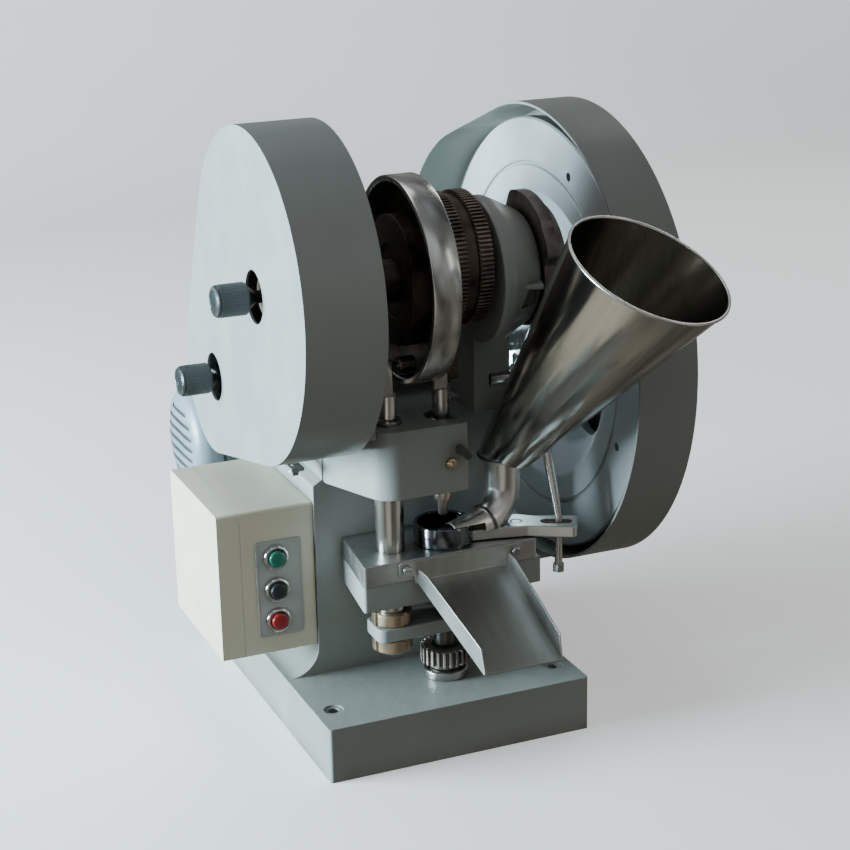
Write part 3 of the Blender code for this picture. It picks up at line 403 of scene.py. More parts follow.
def rounded(corners, steps=8):
    """A closed outline with each corner (first, second, radius) rounded."""
    outline = []
    count = len(corners)
    for i, (x, y, radius) in enumerate(corners):
        if radius == 0:
            outline.append((x, y))
            continue
        here = Vector((x, y))
        before = (Vector(corners[i - 1][:2]) - here).normalized()
        after = (Vector(corners[(i + 1) % count][:2]) - here).normalized()
        half = before.angle(after) / 2
        centre = here + (before + after).normalized() * radius / math.sin(half)
        start = here + before * radius / math.tan(half) - centre
        end = here + after * radius / math.tan(half) - centre
        first = math.atan2(start.y, start.x)
        swing = (math.atan2(end.y, end.x) - first + math.pi) % (2 * math.pi) - math.pi
        outline += circle(centre, radius, steps, first, swing)
    return outline


def to_axis(axis):
    """The matrix that turns the local Z axis onto the axis named."""
    return {
        "X": Matrix(((0, 0, 1), (1, 0, 0), (0, 1, 0))),
        "-Y": Matrix(((1, 0, 0), (0, 0, -1), (0, 1, 0))),
        "Z": Matrix.Identity(3),
    }[axis]


def prism(name, outline, axis, low, high):
    """Extrudes an outline of (Y, Z) along X, (X, Z) along Y or (X, Y) along Z."""
    bm = bmesh.new()
    place = "XYZ".index(axis)
    corners = []
    for pair in outline:
        point = list(pair)
        point.insert(place, low)
        corners.append(bm.verts.new(point))
    grown = bmesh.ops.extrude_face_region(bm, geom=[bm.faces.new(corners)])["geom"]
    reach = Vector((0, 0, 0))
    reach[place] = high - low
    bmesh.ops.translate(bm, vec=reach, verts=[item for item in grown if isinstance(item, bmesh.types.BMVert)])
    return make(name, bm)


def lathe(name, profile, axis, centre, steps=96):
    """Spins (radius, height) pairs round an axis. A profile that starts on the axis makes a solid."""
    bm = bmesh.new()
    points = [bm.verts.new((radius, 0, height)) for radius, height in profile if radius > 0]
    edges = [bm.edges.new(pair) for pair in zip(points, points[1:])]
    solid = profile[0][0] == 0
    if not solid:
        edges.append(bm.edges.new((points[-1], points[0])))
    bmesh.ops.spin(
        bm,
        geom=points + edges,
        cent=(0, 0, 0),
        axis=(0, 0, 1),
        angle=2 * math.pi,
        steps=steps,
        use_merge=True,
    )
    if solid:
        bmesh.ops.holes_fill(bm, edges=bm.edges)
    bmesh.ops.transform(bm, matrix=Matrix.Translation(centre) @ to_axis(axis).to_4x4(), verts=bm.verts)
    return make(name, bm)


def rod(name, axis, centre, radius, low, high, steps=64):
    return lathe(name, [(0, low), (radius, low), (radius, high), (0, high)], axis, centre, steps)


def block(name, x, y, z):
    return prism(name, [(x[0], y[0]), (x[1], y[0]), (x[1], y[1]), (x[0], y[1])], "Z", z[0], z[1])


def loft(name, rings, capped=False):
    """Joins rings of points in order. The ends are capped, or the last ring closes onto the first."""
    bm = bmesh.new()
    made = [[bm.verts.new(point) for point in ring] for ring in rings]
    if capped:
        bm.faces.new(made[0])
        bm.faces.new(made[-1][::-1])
    for first, second in zip(made, made[1:] if capped else made[1:] + made[:1]):
        for i in range(len(first)):
            j = (i + 1) % len(first)
            bm.faces.new((first[i], first[j], second[j], second[i]))
    return make(name, bm)


def ring_across(centre, direction, radius, steps):
    """Points of a circle that faces along a direction."""
    forward = Vector(direction).normalized()
    side = (Vector((1, 0, 0)) - forward * forward.x).normalized()
    up = forward.cross(side)
    return [Vector(centre) + side * across + up * along for across, along in circle((0, 0), radius, steps)]


def combine(obj, others, operation):
    """Applies Booleans and removes their operands."""
    for other in others:
        modifier = obj.modifiers.new(other.name, "BOOLEAN")
        modifier.operation = operation
        modifier.solver = "MANIFOLD"
        modifier.object = other
    graph = bpy.context.evaluated_depsgraph_get()
    mesh = bpy.data.meshes.new_from_object(obj.evaluated_get(graph))
    obj.modifiers.clear()
    obj.data = mesh
    for other in others:
        bpy.data.objects.remove(other)
    return obj


def cut(obj, *others):
    return combine(obj, others, "DIFFERENCE")


def join(obj, *others):
    return combine(obj, others, "UNION")


def dress(obj, body, look, nodes=(), bevel=0.0, sharp=34, slot=None):
    """Gives a piece its material, shading, rounded edges and body, and hides the CAD nodes it stands for."""
    obj.data.materials.clear()
    obj.data.materials.append(look)
    obj.data.shade_smooth()
    obj.data.set_sharp_from_angle(angle=math.radians(sharp))
    if bevel:
        modifier = obj.modifiers.new("edges", "BEVEL")
        modifier.width = bevel * MM
        modifier.segments = 3
        modifier.limit_method = "ANGLE"
        modifier.angle_limit = math.radians(sharp)
        modifier.harden_normals = True
    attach(obj, body)
    if nodes:
        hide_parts(*nodes)
        slot = slot or SLOTS[nodes[0]]
    return obj


def body_of(node):
    return NODES[node]["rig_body"]


def refine(node, look=None, bevel=0.35):
    """A smooth copy of a CAD node with its edges rounded."""
    bm = bmesh.new()
    bm.from_mesh(NODES[node].data)
    bmesh.ops.remove_doubles(bm, verts=bm.verts, dist=1e-6)
    bmesh.ops.dissolve_limit(bm, angle_limit=math.radians(1.0), verts=bm.verts, edges=bm.edges)
    bmesh.ops.scale(bm, vec=(1 / MM,) * 3, verts=bm.verts)
    obj = make(f"{node}_piece", bm)
    return dress(obj, body_of(node), look or LOOKS[SLOTS[node]], (node,), bevel)


# The press


def casting():
    x = span("frame_casting", "X")
    y = span("frame_casting", "Y")
    top = 56.0
    plan = rounded([(x[0], y[0], 3), (x[1], y[0], 3), (x[1], y[1], 5), (x[0], y[1], 5)])
    base = prism("casting", plan, "Z", 0, top)
    half = x[1] - 4
    flare_radius = 31.5
    flare = circle((-half, top + flare_radius), flare_radius, 16, -math.pi / 2, math.pi / 2)
    outline = [(-half, top - 8)] + flare + [(-102, 256), (-92.2, 262), (-92.2, 327), (102, 327)]
    outline += [(-a, b) for a, b in flare[::-1]] + [(half, top - 8)]
    column = prism("column", outline, "Y", 51, 240)
    plan = [(27.5, HEAD_FRONT, 3), (27.5, 70, 0), (-91, 70, 0), (-91, 44, 6), (-60, HEAD_FRONT, 26)]
    head = prism("head", rounded(plan, 14), "Z", 260, 328)
    profile = [(96, 318, 0), (190, 318, 0), (190, 397, 16), (96, 397, 10)]
    rear = prism("rear_block", rounded(profile), "X", -91.6, 91)
    cheeks = []
    for front, low, high in ((-24, -92.7, -64), (12, 54, 92)):
        cheek = circle((0, MAIN.z), 52, 48, math.radians(60), math.radians(150))
        cheek += [(front, 402), (front, 321), (150, 321), (150, 388)]
        cheeks.append(prism("cheek", cheek, "X", low, high))
    profile = [(0, 0), (69, 0), (70.6, 1.6), (71, 3), (71, 11), (70, 13.5)]
    profile += [(56, 41), (53.5, 44), (51, 45), (0, 45)]
    housing = lathe("housing", profile, "X", (50, 0, MAIN.z), 128)
    boss = rod("boss", "X", (0, 0, MAIN.z), 50, -76, -60, 96)
    drive_boss = rod("drive_boss", "X", (0, DRIVE.y, DRIVE.z), 36, 88, 122, 96)
    table_top = span("die_table_plate", "Z")[0] - 0.3
    plan = rounded([(-84, -33, 3), (104, -33, 3), (104, 60, 0), (-72, 60, 0)])
    table = prism("table", plan, "Z", 151, table_top)
    punch_boss = rod("punch_boss", "Z", (PUNCH_X, 0, 0), 22, 136, 156)
    rib = prism("rib", [(0, 156), (56, 156), (56, 84)], "X", 64, 84)
    join(base, column, head, rear, *cheeks, housing, boss, drive_boss, table, punch_boss, rib)
    cutters = [
        rod("bore", "X", (0, 0, MAIN.z), 27, -112, 108),
        rod("bore", "X", (0, DRIVE.y, DRIVE.z), 22, -110, 130),
        rod("bore", "Z", (PUNCH_X, 0, 0), 17.3, 255, 335),
        rod("bore", "Z", (LIFT_X, 0, 0), 14.3, 140, 335),
        rod("bore", "Z", (PUNCH_X, 0, 0), 12, 120, 180),
        rod("bore", "Z", (FEEDER.x, FEEDER.y, 0), 6.3, 160, 180),
        rod("bore", "X", (0, LEVER.y, LEVER.z), 6.3, 70, 100),
        block("window", (70, 90), (-62, -46), (440, 458)),
    ]
    for side in (-118, 118):
        for place in (-30, 277):
            cutters.append(rod("foot_hole", "Z", (side, place, 0), 5.5, -5, 70, 32))
            cutters.append(rod("foot_sink", "Z", (side, place, 0), 9.5, top - 1.2, 70, 48))
    cut(base, *cutters)
    dress(base, "frame", LOOKS["grey_casting"], ("frame_casting",), sharp=30)


def housing_lug():
    """The pointed lug over the housing's slot."""
    lug = prism("housing_lug", [(63, -50), (63, -60), (88, -72), (97, -46)], "Z", 459, 464)
    dress(lug, "frame", LOOKS["grey_casting"], bevel=1.0, slot="grey_casting")


def band(node, near, far):
    """The two circles of a cover's outline, from its box and their radii."""
    y = span(node, "Y")
    z = span(node, "Z")
    return (y[0] + near, z[1] - near, near), (y[1] - far, z[0] + far, far)


def covers():
    low, high = span("gear_cover", "X")
    circles = band("gear_cover", 157.0, 79.0)
    cover = prism("gear_cover_sheet", hull(circles), "X", low, high)
    cut(
        cover,
        prism("hollow", hull(circles, -2.5), "X", low + 2.5, high + 10),
        rod("hole", "X", (0, 0, MAIN.z), 25, low - 10, low + 20),
        rod("hole", "X", (0, DRIVE.y, DRIVE.z), 24, low - 10, low + 20),
    )
    dress(cover, "frame", LOOKS["cover_paint"], ("gear_cover",), bevel=1.1)
    low, high = span("belt_guard", "X")
    circles = band("belt_guard", 240.0, 220.0)
    guard = prism("belt_guard_sheet", hull(circles, steps=220), "X", low, high)
    cut(guard, prism("hollow", hull(circles, -2.5, 220), "X", low - 10, high - 2.5))
    dress(guard, "frame", LOOKS["guard_paint"], ("belt_guard",), bevel=1.0)
    clip = block("cover_clip", (-126, -112), (44, 76), (276, 280))
    dress(clip, "frame", LOOKS["grey_casting"], bevel=1.2, slot="grey_casting")
    profile = [(0, 0), (3, 0), (3, -6), (6, -6), (6, -10.5), (0, -10.5)]
    bolt = lathe("cover_clip_bolt", profile, "Z", (-119, 56, 280.5), 6)
    dress(bolt, "frame", LOOKS["machined_steel"], bevel=0.5, slot="machined_steel")


def toothed(centre, outer, depth, teeth):
    """The outline of a gear with square teeth."""
    outline = []
    for i in range(teeth):
        for radius, place in ((outer - depth, 0.0), (outer, 0.1), (outer, 0.48), (outer - depth, 0.58)):
            angle = 2 * math.pi * (i + place) / teeth
            outline.append((centre[0] + radius * math.cos(angle), centre[1] + radius * math.sin(angle)))
    return outline


def main_shaft():
    centre = (0, 0, MAIN.z)
    bore = 20.3
    profile = [(bore, -33), (50, -33), (50, -9), (91.6, -9), (91.6, -5.4), (bore, -5.4)]
    hub = lathe("eject_cam_hub", profile, "X", centre, 128)
    profile = [(91.9, -31.5), (93, -33), (97, -33), (98, -31.5)]
    profile += [(98, -6.5), (97, -5), (91.4, -5), (91.4, -9.5)]
    ring = lathe("eject_cam_ring", profile, "X", centre, 192)
    dress(ring, "main", TURNED["main"], ("eject_cam",), bevel=0.4)
    lobe = []
    steps = 120
    for i in range(steps):
        angle = 2 * math.pi * i / steps
        rise = 0.5 - 0.5 * math.cos(max(-math.pi, min(math.pi, 2.2 * (angle - math.pi))))
        reach = 53 + 9 * rise
        lobe.append((reach * math.cos(angle), MAIN.z + reach * math.sin(angle)))
    inner = prism("eject_lobe", lobe, "X", -34.5, -8)
    cut(inner, rod("bore", "X", centre, 36, -60, 20))
    join(hub, inner)
    dress(hub, "main", TURNED["greased"], bevel=0.5, slot="dark_steel")
    ring_z = middle("toothed_ring_left").z
    for side in ("left", "right"):
        low, high = span(f"toothed_ring_{side}", "X")
        ring = prism(f"toothed_ring_{side}_teeth", toothed((0, ring_z), 64, 3.0, 96), "X", low, high)
        cut(ring, rod("bore", "X", centre, bore, low - 5, high + 5))
        dress(ring, "main", LOOKS["gear_steel"], (f"toothed_ring_{side}",), sharp=25)
    low, high = span("feeder_cam", "X")
    outline = []
    low_radius = 58.0
    steps = 240
    for i in range(steps):
        turn = 360 * i / steps
        radius = low_radius
        for place, half, height in ((105, 46, 14), (150, 20, 11)):
            away = abs((turn - place + 180) % 360 - 180)
            if away < half:
                rise = min(1.0, 2.4 * (1 - away / half))
                radius = max(radius, low_radius + height * (3 * rise**2 - 2 * rise**3))
        angle = math.radians(turn)
        outline.append((radius * math.cos(angle), MAIN.z + radius * math.sin(angle)))
    cam = prism("feeder_cam_plate", outline, "X", low, high)
    step = lathe("step", [(60, 108), (90, 108), (90, high + 6), (60, high + 6)], "X", centre)
    cut(cam, rod("bore", "X", centre, bore, low - 5, high + 5), step)
    look = rusty("cam_steel", (0.09, 0.08, 0.078), (0.24, 0.21, 0.20))
    dress(cam, "main", look, ("feeder_cam",), bevel=1.2)


def flywheel():
    low, high = span("flywheel", "Z")
    radius = (high - low) / 2
    wheel_x = 204
    centre = (wheel_x, DRIVE.y, DRIVE.z)
    profile = [
        (15.3, -26),
        (34, -26),
        (37, -24),
        (44, 4),
        (47, 6),
        (116, 8),
        (122, 6),
        (150, -18),
        (154, -20),
        (176, -20),
        (177, -17.5),
        (180, -17.5),
        (181, -20),
        (radius - 2, -20),
        (radius, -18),
        (radius, -4),
        (radius - 15, -1),
        (radius - 15, 7),
        (radius, 10),
        (radius, 18),
        (radius - 2, 20),
        (154, 20),
        (150, 17),
        (44, 17),
        (38, 26),
        (15.3, 26),
    ]
    wheel = lathe("flywheel_casting", profile, "X", centre, 256)
    cutters = []
    for index in range(4):
        for angle, reach, hole, back in ((45, 92, 31, 40), (22, 192, 4.5, -8)):
            turn = math.radians(angle + 90 * index)
            place = (wheel_x, DRIVE.y + reach * math.cos(turn), DRIVE.z + reach * math.sin(turn))
            cutters.append(rod("hole", "X", place, hole, -40, back, 64))
    cut(wheel, *cutters)
    dress(wheel, "drive", TURNED["flywheel"], ("flywheel",), bevel=0.8)


def grease_cups():
    for node, centre in (("main_grease_cup", MAIN), ("drive_grease_cup", DRIVE)):
        low, high = span(node, "X")
        place = (high, centre.y, centre.z)
        body = body_of(node)
        profile = [(0, 0), (6, 0), (6, -9), (10, -13), (14.6, -17), (14.6, -18.5), (0, -18.5)]
        neck = lathe(f"{node}_neck", profile, "X", place)
        dress(neck, body, LOOKS["black_plastic"], bevel=0.5, slot="black_plastic")
        outline = []
        steps = 160
        for i in range(steps):
            reach = 14.8 if i % 4 in (0, 1) else 15.3
            angle = 2 * math.pi * i / steps
            outline.append((place[1] + reach * math.cos(angle), place[2] + reach * math.sin(angle)))
        grip = prism(f"{node}_grip", outline, "X", high - 18.4, low + 5.5)
        dress(grip, body, LOOKS["black_plastic"], (node,), sharp=50)
        place = (low, centre.y, centre.z)
        profile = [(0, 5.6), (14.9, 5.6), (15.1, 4.6), (15.1, 3.4), (14.2, 1.6), (12.2, 0.5), (0, 0)]
        cap = lathe(f"{node}_cap", profile, "X", place)
        dress(cap, body, LOOKS["black_plastic"], sharp=60, slot="black_plastic")
        profile = [(11.4, 0.15), (13.2, 0.15), (13.2, 1.1), (11.4, 1.1)]
        rim = lathe(f"{node}_rim", profile, "X", place)
        dress(rim, body, LOOKS["machined_steel"], sharp=60, slot="machined_steel")


def hopper():
    throat = Vector((78.0, 0.0, span("hopper", "Z")[0]))
    mouth = Vector((128.7, -197.4, 501.1))
    rim_aim = Vector((0.23, -0.42, 0.88)).normalized()
    lean = (mouth - throat).normalized()
    stages = [
        (throat, Vector((0, 0, 1)), 24.0),
        (throat + lean * 8, (lean + Vector((0, 0, 1))) / 2, 25.6),
        (throat + lean * 20, lean, 28.0),
        (mouth, rim_aim, 76.7),
    ]
    steps = 144
    sheet = 1.3
    outer = [ring_across(place, aim, radius, steps) for place, aim, radius in stages]
    inner = [ring_across(place, aim, radius - sheet, steps) for place, aim, radius in stages]
    inner[0] = ring_across(throat, (0, 0, 1), 15.5, steps)
    cone = loft("hopper_cone", outer + inner[::-1])
    dress(cone, "feeder", TURNED["hopper"], ("hopper",), bevel=0.3, sharp=40)
    tube = []
    for out in ring_across((0, 0, 0), rim_aim, 1, steps):
        centre = mouth + out * 76.2 - rim_aim * 0.6
        tube.append([centre + out * across + rim_aim * along for across, along in circle((0, 0), 1.5, 10)])
    rim = loft("hopper_rim", tube)
    dress(rim, "feeder", TURNED["elbow"], sharp=80, slot="stainless")
    profile = [(16.6, 0), (24.6, 0), (25.2, 0.8), (25.2, 2.6), (24.4, 3.4), (16.6, 3.4)]
    lip = lathe("hopper_lip", profile, "Z", throat - Vector((0, 0, 0.2)))
    dress(lip, "feeder", LOOKS["dark_steel"], sharp=40, slot="dark_steel")


def smooth_path(stages, steps):
    """Points and radii along a curve through every (point, radius)."""
    points = [Vector(point) for point, radius in stages]
    radii = [radius for point, radius in stages]
    last = len(points) - 1
    fine = []
    for i in range(last):
        before = points[max(i - 1, 0)]
        start, end = points[i], points[i + 1]
        after = points[min(i + 2, last)]
        for k in range(steps):
            t = k / steps
            spot = 2 * start + (end - before) * t
            spot += (2 * before - 5 * start + 4 * end - after) * t**2
            spot += (3 * start - before - 3 * end + after) * t**3
            fine.append((0.5 * spot, radii[i] + (radii[i + 1] - radii[i]) * t))
    fine.append((points[last], radii[last]))
    return fine


def elbow():
    stages = [
        ((78, 0, 281), 17),
        ((78, 0, 251), 17),
        ((76, -1.2, 238), 17),
        ((69, -4.4, 225.5), 17),
        ((56, -9, 216.5), 16.5),
        ((36, -14.8, 212.5), 15),
        ((12, -20.5, 211.5), 12),
    ]
    fine = smooth_path(stages, 8)
    steps = 72
    sheet = 1.2
    outer = []
    inner = []
    for i, (point, radius) in enumerate(fine):
        aim = fine[min(i + 1, len(fine) - 1)][0] - fine[max(i - 1, 0)][0]
        outer.append(ring_across(point, aim, radius, steps))
        inner.append(ring_across(point, aim, radius - sheet, steps))
    pipe = loft("feed_pipe", outer + inner[::-1])
    floor_z = span("feeder_arm", "Z")[1] + 0.3
    x, y = (-40, 110), (-70, 30)
    cut(pipe, block("under", x, y, (170, floor_z)), block("mouth", (-40, 47), y, (190, 220.4)))
    dress(pipe, "feeder", TURNED["elbow"], ("feeder_elbow",), sharp=40)
    place = 33
    point, radius = fine[place]
    aim = fine[place + 1][0] - fine[place - 1][0]
    rings = []
    for shift, grow in ((-2, 0.1), (-1.6, 0.7), (1.6, 0.7), (2, 0.1), (2, -1.0), (-2, -1.0)):
        rings.append(ring_across(point + aim.normalized() * shift, aim, radius + grow, steps))
    weld = loft("feed_pipe_band", rings)
    cut(weld, block("under", x, y, (170, floor_z)))
    dress(weld, "feeder", LOOKS["dark_steel"], sharp=40, slot="dark_steel")


def feed_shoe():
    low, high = span("feed_shoe", "Z")
    profile = [(25.5, low), (29.5, low), (29.5, high - 1.2), (28.6, high), (26.4, high), (25.5, high - 0.8)]
    shoe = lathe("feed_shoe_ring", profile, "Z", (PUNCH_X, 0, 0), 128)
    look = sheet_steel("shoe_sheet", (0.13, 0.14, 0.15), (1.0, 1.0, 40.0), 0.1)
    dress(shoe, "feeder", look, ("feed_shoe",), sharp=40)


def chute():
    look = sheet_steel("chute_sheet", (0.55, 0.55, 0.52), (10.0, 1.0, 1.0), 0.33)
    refine("chute", look, 0.5)
    for node in ("chute_screw_left", "chute_screw_right"):
        place = middle(node)
        front = span(node, "Y")[0]
        head = [(0, -3.7), (4.8, -3.7), (4.8, -1.6), (3.6, -0.3), (0, 0)]
        screw = lathe(f"{node}_head", head, "-Y", (place.x, front, place.z), 48)
        x = (place.x - 6, place.x + 6)
        z = (place.z - 0.6, place.z + 0.6)
        cut(screw, block("slot", x, (front - 1, front + 1.1), z))
        dress(screw, "frame", LOOKS["machined_steel"], (node,), sharp=40)


def adjusters():
    low, high = span("fill_gear", "Z")
    teeth = toothed((PUNCH_X, 0), 25, 3.2, 24)
    gear = prism("fill_gear_teeth", teeth, "Z", low + 6, high)
    join(gear, rod("neck", "Z", (PUNCH_X, 0, 0), 16, low, low + 8))
    cut(gear, rod("sink", "Z", (PUNCH_X, 0, 0), 14, high - 2.5, high + 5))
    look = rusty("fill_gear_steel", (0.14, 0.12, 0.10), (0.36, 0.32, 0.28))
    dress(gear, "fill", look, ("fill_gear",), bevel=0.5, sharp=25)
    for node in ("lift_nut_upper", "lift_nut_lower"):
        low, high = span(node, "Z")
        profile = [(14.3, low), (18.8, low), (20, low + 1.2), (20, high - 1.2), (18.8, high), (14.3, high)]
        nut = lathe(f"{node}_ring", profile, "Z", (LIFT_X, 0, 0), 96)
        cutters = []
        for index in range(4):
            turn = math.radians(20 + 90 * index)
            place = (LIFT_X + 20 * math.cos(turn), 20 * math.sin(turn), 0)
            cutters.append(rod("notch", "Z", place, 2.4, low - 1, high + 1, 24))
        cut(nut, *cutters)
        dress(nut, "lift", TURNED["nuts"], (node,), bevel=0.3)


def rectangle(x, z, inset=0.0, radius=0.0):
    """A closed outline set in from two spans, with its corners rounded."""
    left, right = x[0] + inset, x[1] - inset
    low, high = z[0] + inset, z[1] - inset
    corners = [(left, low), (right, low), (right, high), (left, high)]
    return rounded([(*corner, radius) for corner in corners])


def button_holes(front):
    """Cutters for the three buttons through a sheet with its front there."""
    places = [middle(f"{name}_button") for name in BUTTONS]
    return [rod("hole", "-Y", (place.x, front, place.z), 8.6, -12, 12) for place in places]


def control_box():
    y = span("control_box", "Y")
    z = span("control_box", "Z")
    seam, right = span("control_box", "X")
    left, lid_right = span("control_box_lid", "X")
    wall = 1.8
    for node, low, high, inside in (
        ("control_box", seam, right, (seam - 5, right - wall)),
        ("control_box_lid", left, lid_right, (left + wall, lid_right + 5)),
    ):
        shell = prism(f"{node}_sheet", rectangle(y, z, radius=3), "X", low, high)
        cutters = [prism("hollow", rectangle(y, z, wall), "X", *inside)]
        if node == "control_box":
            cutters += button_holes(y[0])
        cut(shell, *cutters)
        dress(shell, "frame", LOOKS["cream_paint"], (node,), bevel=0.9)


def control_panel():
    low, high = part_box("control_panel")
    low, high = low / MM, high / MM
    x = (low.x, high.x)
    z = (low.z, high.z)
    front = low.y
    panel = prism("panel_plate", rectangle(x, z, radius=3), "Y", front, high.y)
    line = prism("line", rectangle(x, z, 2, 2), "Y", front - 1, front + 0.25)
    cut(line, prism("inner", rectangle(x, z, 3, 2), "Y", front - 2, front + 1))
    cut(panel, line, *button_holes(front))
    dress(panel, "frame", LOOKS["panel_grey"], ("control_panel",), sharp=30)


def buttons():
    for name in BUTTONS:
        place = middle(f"{name}_bezel")
        back = span(f"{name}_bezel", "Y")[1]
        profile = [(9.4, 0), (13, 0), (13, 2.2), (12.4, 3.4), (11.4, 4.2), (10.4, 4.4), (9.4, 4.0)]
        bezel = lathe(f"{name}_ring", profile, "-Y", (place.x, back, place.z), 64)
        dress(bezel, "frame", LOOKS["chrome"], (f"{name}_bezel",), sharp=40)
        front, back = span(f"{name}_button", "Y")
        long = back - front
        profile = [(0, 0), (8.2, 0), (8.2, long - 1.4), (7.7, long - 0.4), (6.6, long), (0, long - 0.5)]
        cap = lathe(f"{name}_cap", profile, "-Y", (place.x, back, place.z), 64)
        dress(cap, name, LOOKS[SLOTS[f"{name}_button"]], (f"{name}_button",), sharp=50)


def motor():
    low, high = span("fan_cover", "X")
    centre = (0, MOTOR.y, MOTOR.z)
    radius = 62
    profile = [(0, low), (26, low), (40, low + 1.5), (52, low + 5), (59, low + 11)]
    profile += [(radius, low + 20), (radius, high), (0, high)]
    fan = lathe("fan_cover_bell", profile, "X", centre, 128)
    cutters = []
    for index in range(7):
        z = MOTOR.z - 36 + 12 * index
        reach = math.sqrt(44**2 - (z - MOTOR.z) ** 2) if abs(z - MOTOR.z) < 44 else 10
        y = (MOTOR.y - reach, MOTOR.y + reach)
        cutters.append(block("louvre", (low - 8, low + 4.5), y, (z - 2.6, z + 2.6)))
    cut(fan, *cutters)
    dress(fan, "frame", LOOKS["motor_paint"], ("fan_cover",), bevel=0.6)
    low, high = span("motor", "X")
    profile = [(0, low), (56, low), (60, low + 4), (60, 96)]
    profile += [(54, 104), (24, 112), (24, high), (0, high)]
    body = lathe("motor_shell", profile, "X", centre, 128)
    fins = []
    fin_count = 26
    shift = Matrix.Translation(Vector(centre) * MM)
    for index in range(fin_count):
        angle = 2 * math.pi * (index + 0.5) / fin_count
        if math.sin(angle) < -0.75:
            continue
        fin = block("fin", (-98, 90), (MOTOR.y + 57, MOTOR.y + radius), (MOTOR.z - 1.1, MOTOR.z + 1.1))
        fin.data.transform(shift @ Matrix.Rotation(angle, 4, "X") @ shift.inverted())
        fins.append(fin)
    foot = span("motor", "Z")[0]
    feet = block("feet", (-70, 70), (MOTOR.y - 55, MOTOR.y + 55), (foot, foot + 12))
    join(body, feet, *fins)
    dress(body, "frame", LOOKS["motor_paint"], ("motor",), bevel=0.4)


def plain_pieces():
    """The nodes whose shapes stay, with rounded edges and their own finish."""
    looks = {
        "main_shaft": TURNED["greased"],
        "eccentric_strap": TURNED["greased"],
        "main_bush_left": TURNED["greased"],
        "wing_screw": LOOKS["dark_steel"],
        "die_table_plate": steel("table_plate", (0.58, 0.59, 0.58), polish=0.3, amount=0.2),
        "drive_shaft": TURNED["drive"],
        "punch_slide": TURNED["punch"],
        "upper_punch": TURNED["rusty_punch"],
        "lifting_rod": TURNED["lift"],
    }
    for node in sorted(NODES):
        if not NODES[node].hide_render:
            small = min((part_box(node)[1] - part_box(node)[0]) / MM) < 4
            refine(node, looks.get(node), 0.15 if small else 0.4)


casting()
housing_lug()
covers()
main_shaft()
flywheel()
grease_cups()
hopper()
elbow()
feed_shoe()
chute()
adjusters()
control_box()
control_panel()
buttons()
motor()
plain_pieces()


# Studio


def floor():
    """A pale floor that sweeps up behind. It glows a little, and reflections and bounced light pass it by."""
    bm = bmesh.new()
    far = 30000
    bend = 2500
    radius = 1500
    outline = [(-far, 0)] + circle((bend, radius), radius, 12, -math.pi / 2, math.pi / 2)
    outline.append((bend + radius, 7000))
    rows = [[bm.verts.new((x, y, z)) for y, z in outline] for x in (-far, far)]
    for i in range(len(outline) - 1):
        bm.faces.new((rows[0][i], rows[1][i], rows[1][i + 1], rows[0][i + 1]))
    obj = make("floor", bm)
    look = Look("floor", roughness=0.75)
    tone = look.mix(look.remap(look.noise(1.2), 0.3, 0.7), (0.88, 0.88, 0.88), (0.91, 0.91, 0.91))
    look.feed(tone, look.shader.inputs["Emission Color"])
    look.shader.inputs["Emission Strength"].default_value = 0.46
    obj.data.materials.append(look.done(tone))
    obj.data.shade_smooth()
    obj.visible_diffuse = False
    obj.visible_glossy = False


def area_light(name, place, size, power, colour=(1.0, 1.0, 1.0), aim=(0.0, 0.1, 0.32)):
    light = bpy.data.lights.new(name, "AREA")
    light.shape = "RECTANGLE"
    light.size, light.size_y = size
    light.energy = power
    light.color = colour
    obj = bpy.data.objects.new(name, light)
    obj.location = place
    obj.rotation_euler = (Vector(aim) - Vector(place)).to_track_quat("-Z", "Y").to_euler()
    bpy.context.scene.collection.objects.link(obj)


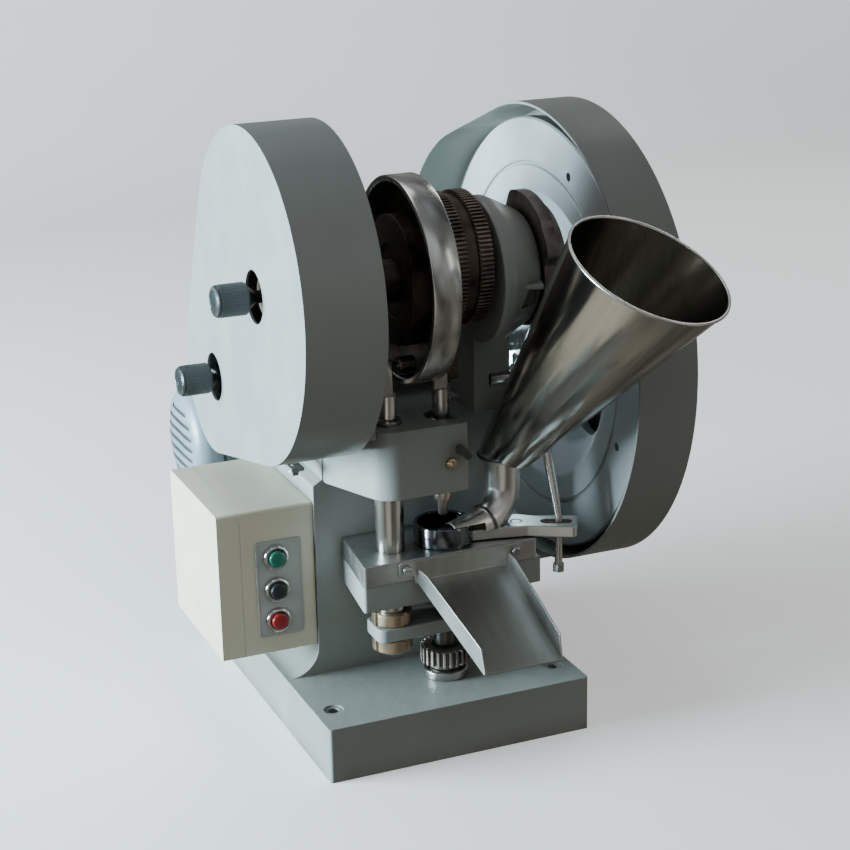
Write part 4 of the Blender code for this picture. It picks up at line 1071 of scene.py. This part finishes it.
def surroundings():
    """A dim workshop all round: light above, warm and dark below, with soft patches for metal to mirror."""
    world = bpy.data.worlds.new("studio")
    world.use_nodes = True
    tree = world.node_tree
    link = tree.links.new
    place = tree.nodes.new("ShaderNodeTexCoord").outputs["Generated"]
    parts = tree.nodes.new("ShaderNodeSeparateXYZ")
    link(place, parts.inputs[0])
    height = tree.nodes.new("ShaderNodeValToRGB")
    ramp = height.color_ramp
    ramp.elements[0].position = 0.0
    ramp.elements[0].color = (0.10, 0.095, 0.08, 1.0)
    ramp.elements[1].position = 1.0
    ramp.elements[1].color = (0.19, 0.205, 0.215, 1.0)
    for position, colour in ((0.42, (0.14, 0.135, 0.12)), (0.52, (0.20, 0.20, 0.19))):
        ramp.elements.new(position).color = (*colour, 1.0)
    rise = tree.nodes.new("ShaderNodeMapRange")
    link(parts.outputs["Z"], rise.inputs["Value"])
    rise.inputs["From Min"].default_value = -1.0
    link(rise.outputs[0], height.inputs[0])
    patches = tree.nodes.new("ShaderNodeTexNoise")
    patches.inputs["Scale"].default_value = 2.3
    patches.inputs["Detail"].default_value = 2.0
    link(place, patches.inputs["Vector"])
    depth = tree.nodes.new("ShaderNodeMapRange")
    link(patches.outputs["Fac"], depth.inputs["Value"])
    for socket, value in (("From Min", 0.38), ("From Max", 0.66), ("To Min", 0.25), ("To Max", 2.1)):
        depth.inputs[socket].default_value = value
    total = depth.outputs[0]
    for aim, narrow, wide, strength in (
        ((-0.45, -0.82, -0.35), 0.99, 0.88, 2.4),
        ((-0.52, 0.34, -0.78), 0.99, 0.91, 3.8),
        ((-0.10, -0.75, 0.65), 0.97, 0.9, 1.2),
        ((0.75, -0.50, -0.30), 0.98, 0.88, 1.2),
    ):
        towards = tree.nodes.new("ShaderNodeVectorMath")
        towards.operation = "DOT_PRODUCT"
        link(place, towards.inputs[0])
        towards.inputs[1].default_value = Vector(aim).normalized()
        glow = tree.nodes.new("ShaderNodeMapRange")
        glow.interpolation_type = "SMOOTHSTEP"
        link(towards.outputs["Value"], glow.inputs["Value"])
        for socket, value in (("From Min", wide), ("From Max", narrow), ("To Max", strength)):
            glow.inputs[socket].default_value = value
        add = tree.nodes.new("ShaderNodeMath")
        link(total, add.inputs[0])
        link(glow.outputs[0], add.inputs[1])
        total = add.outputs[0]
    sky = tree.nodes["Background"]
    link(height.outputs["Color"], sky.inputs["Color"])
    link(total, sky.inputs["Strength"])
    bpy.context.scene.world = world


def studio():
    area_light("window", (-2.75, 0.62, 0.56), (1.6, 1.05), 500, (0.69, 0.90, 1.0))
    area_light("strip", (-2.0, -1.35, 1.0), (0.2, 1.4), 2, (0.90, 0.97, 1.0))
    area_light("top", (-0.5, 1.0, 2.6), (1.6, 1.0), 9, (0.97, 0.99, 1.0))
    area_light("front", (1.9, -2.3, 1.5), (0.45, 1.6), 4, (1.0, 0.96, 0.86))
    area_light("rim", (2.2, 1.9, 1.7), (0.6, 1.4), 11, (1.0, 0.98, 0.94))
    surroundings()


def camera():
    data = bpy.data.cameras.new("camera")
    data.sensor_width = 36
    data.lens = 84.206
    data.clip_end = 50
    right = Vector((0.92012, -0.39117, -0.01941))
    up = Vector((0.13883, 0.27942, 0.95008))
    back = Vector((-0.36622, -0.87688, 0.31140))
    obj = bpy.data.objects.new("camera", data)
    turn = Matrix((right, up, back)).transposed().to_4x4()
    obj.matrix_world = Matrix.Translation((-0.7024, -1.6730, 0.9140)) @ turn
    bpy.context.scene.collection.objects.link(obj)
    bpy.context.scene.camera = obj


floor()
studio()
camera()
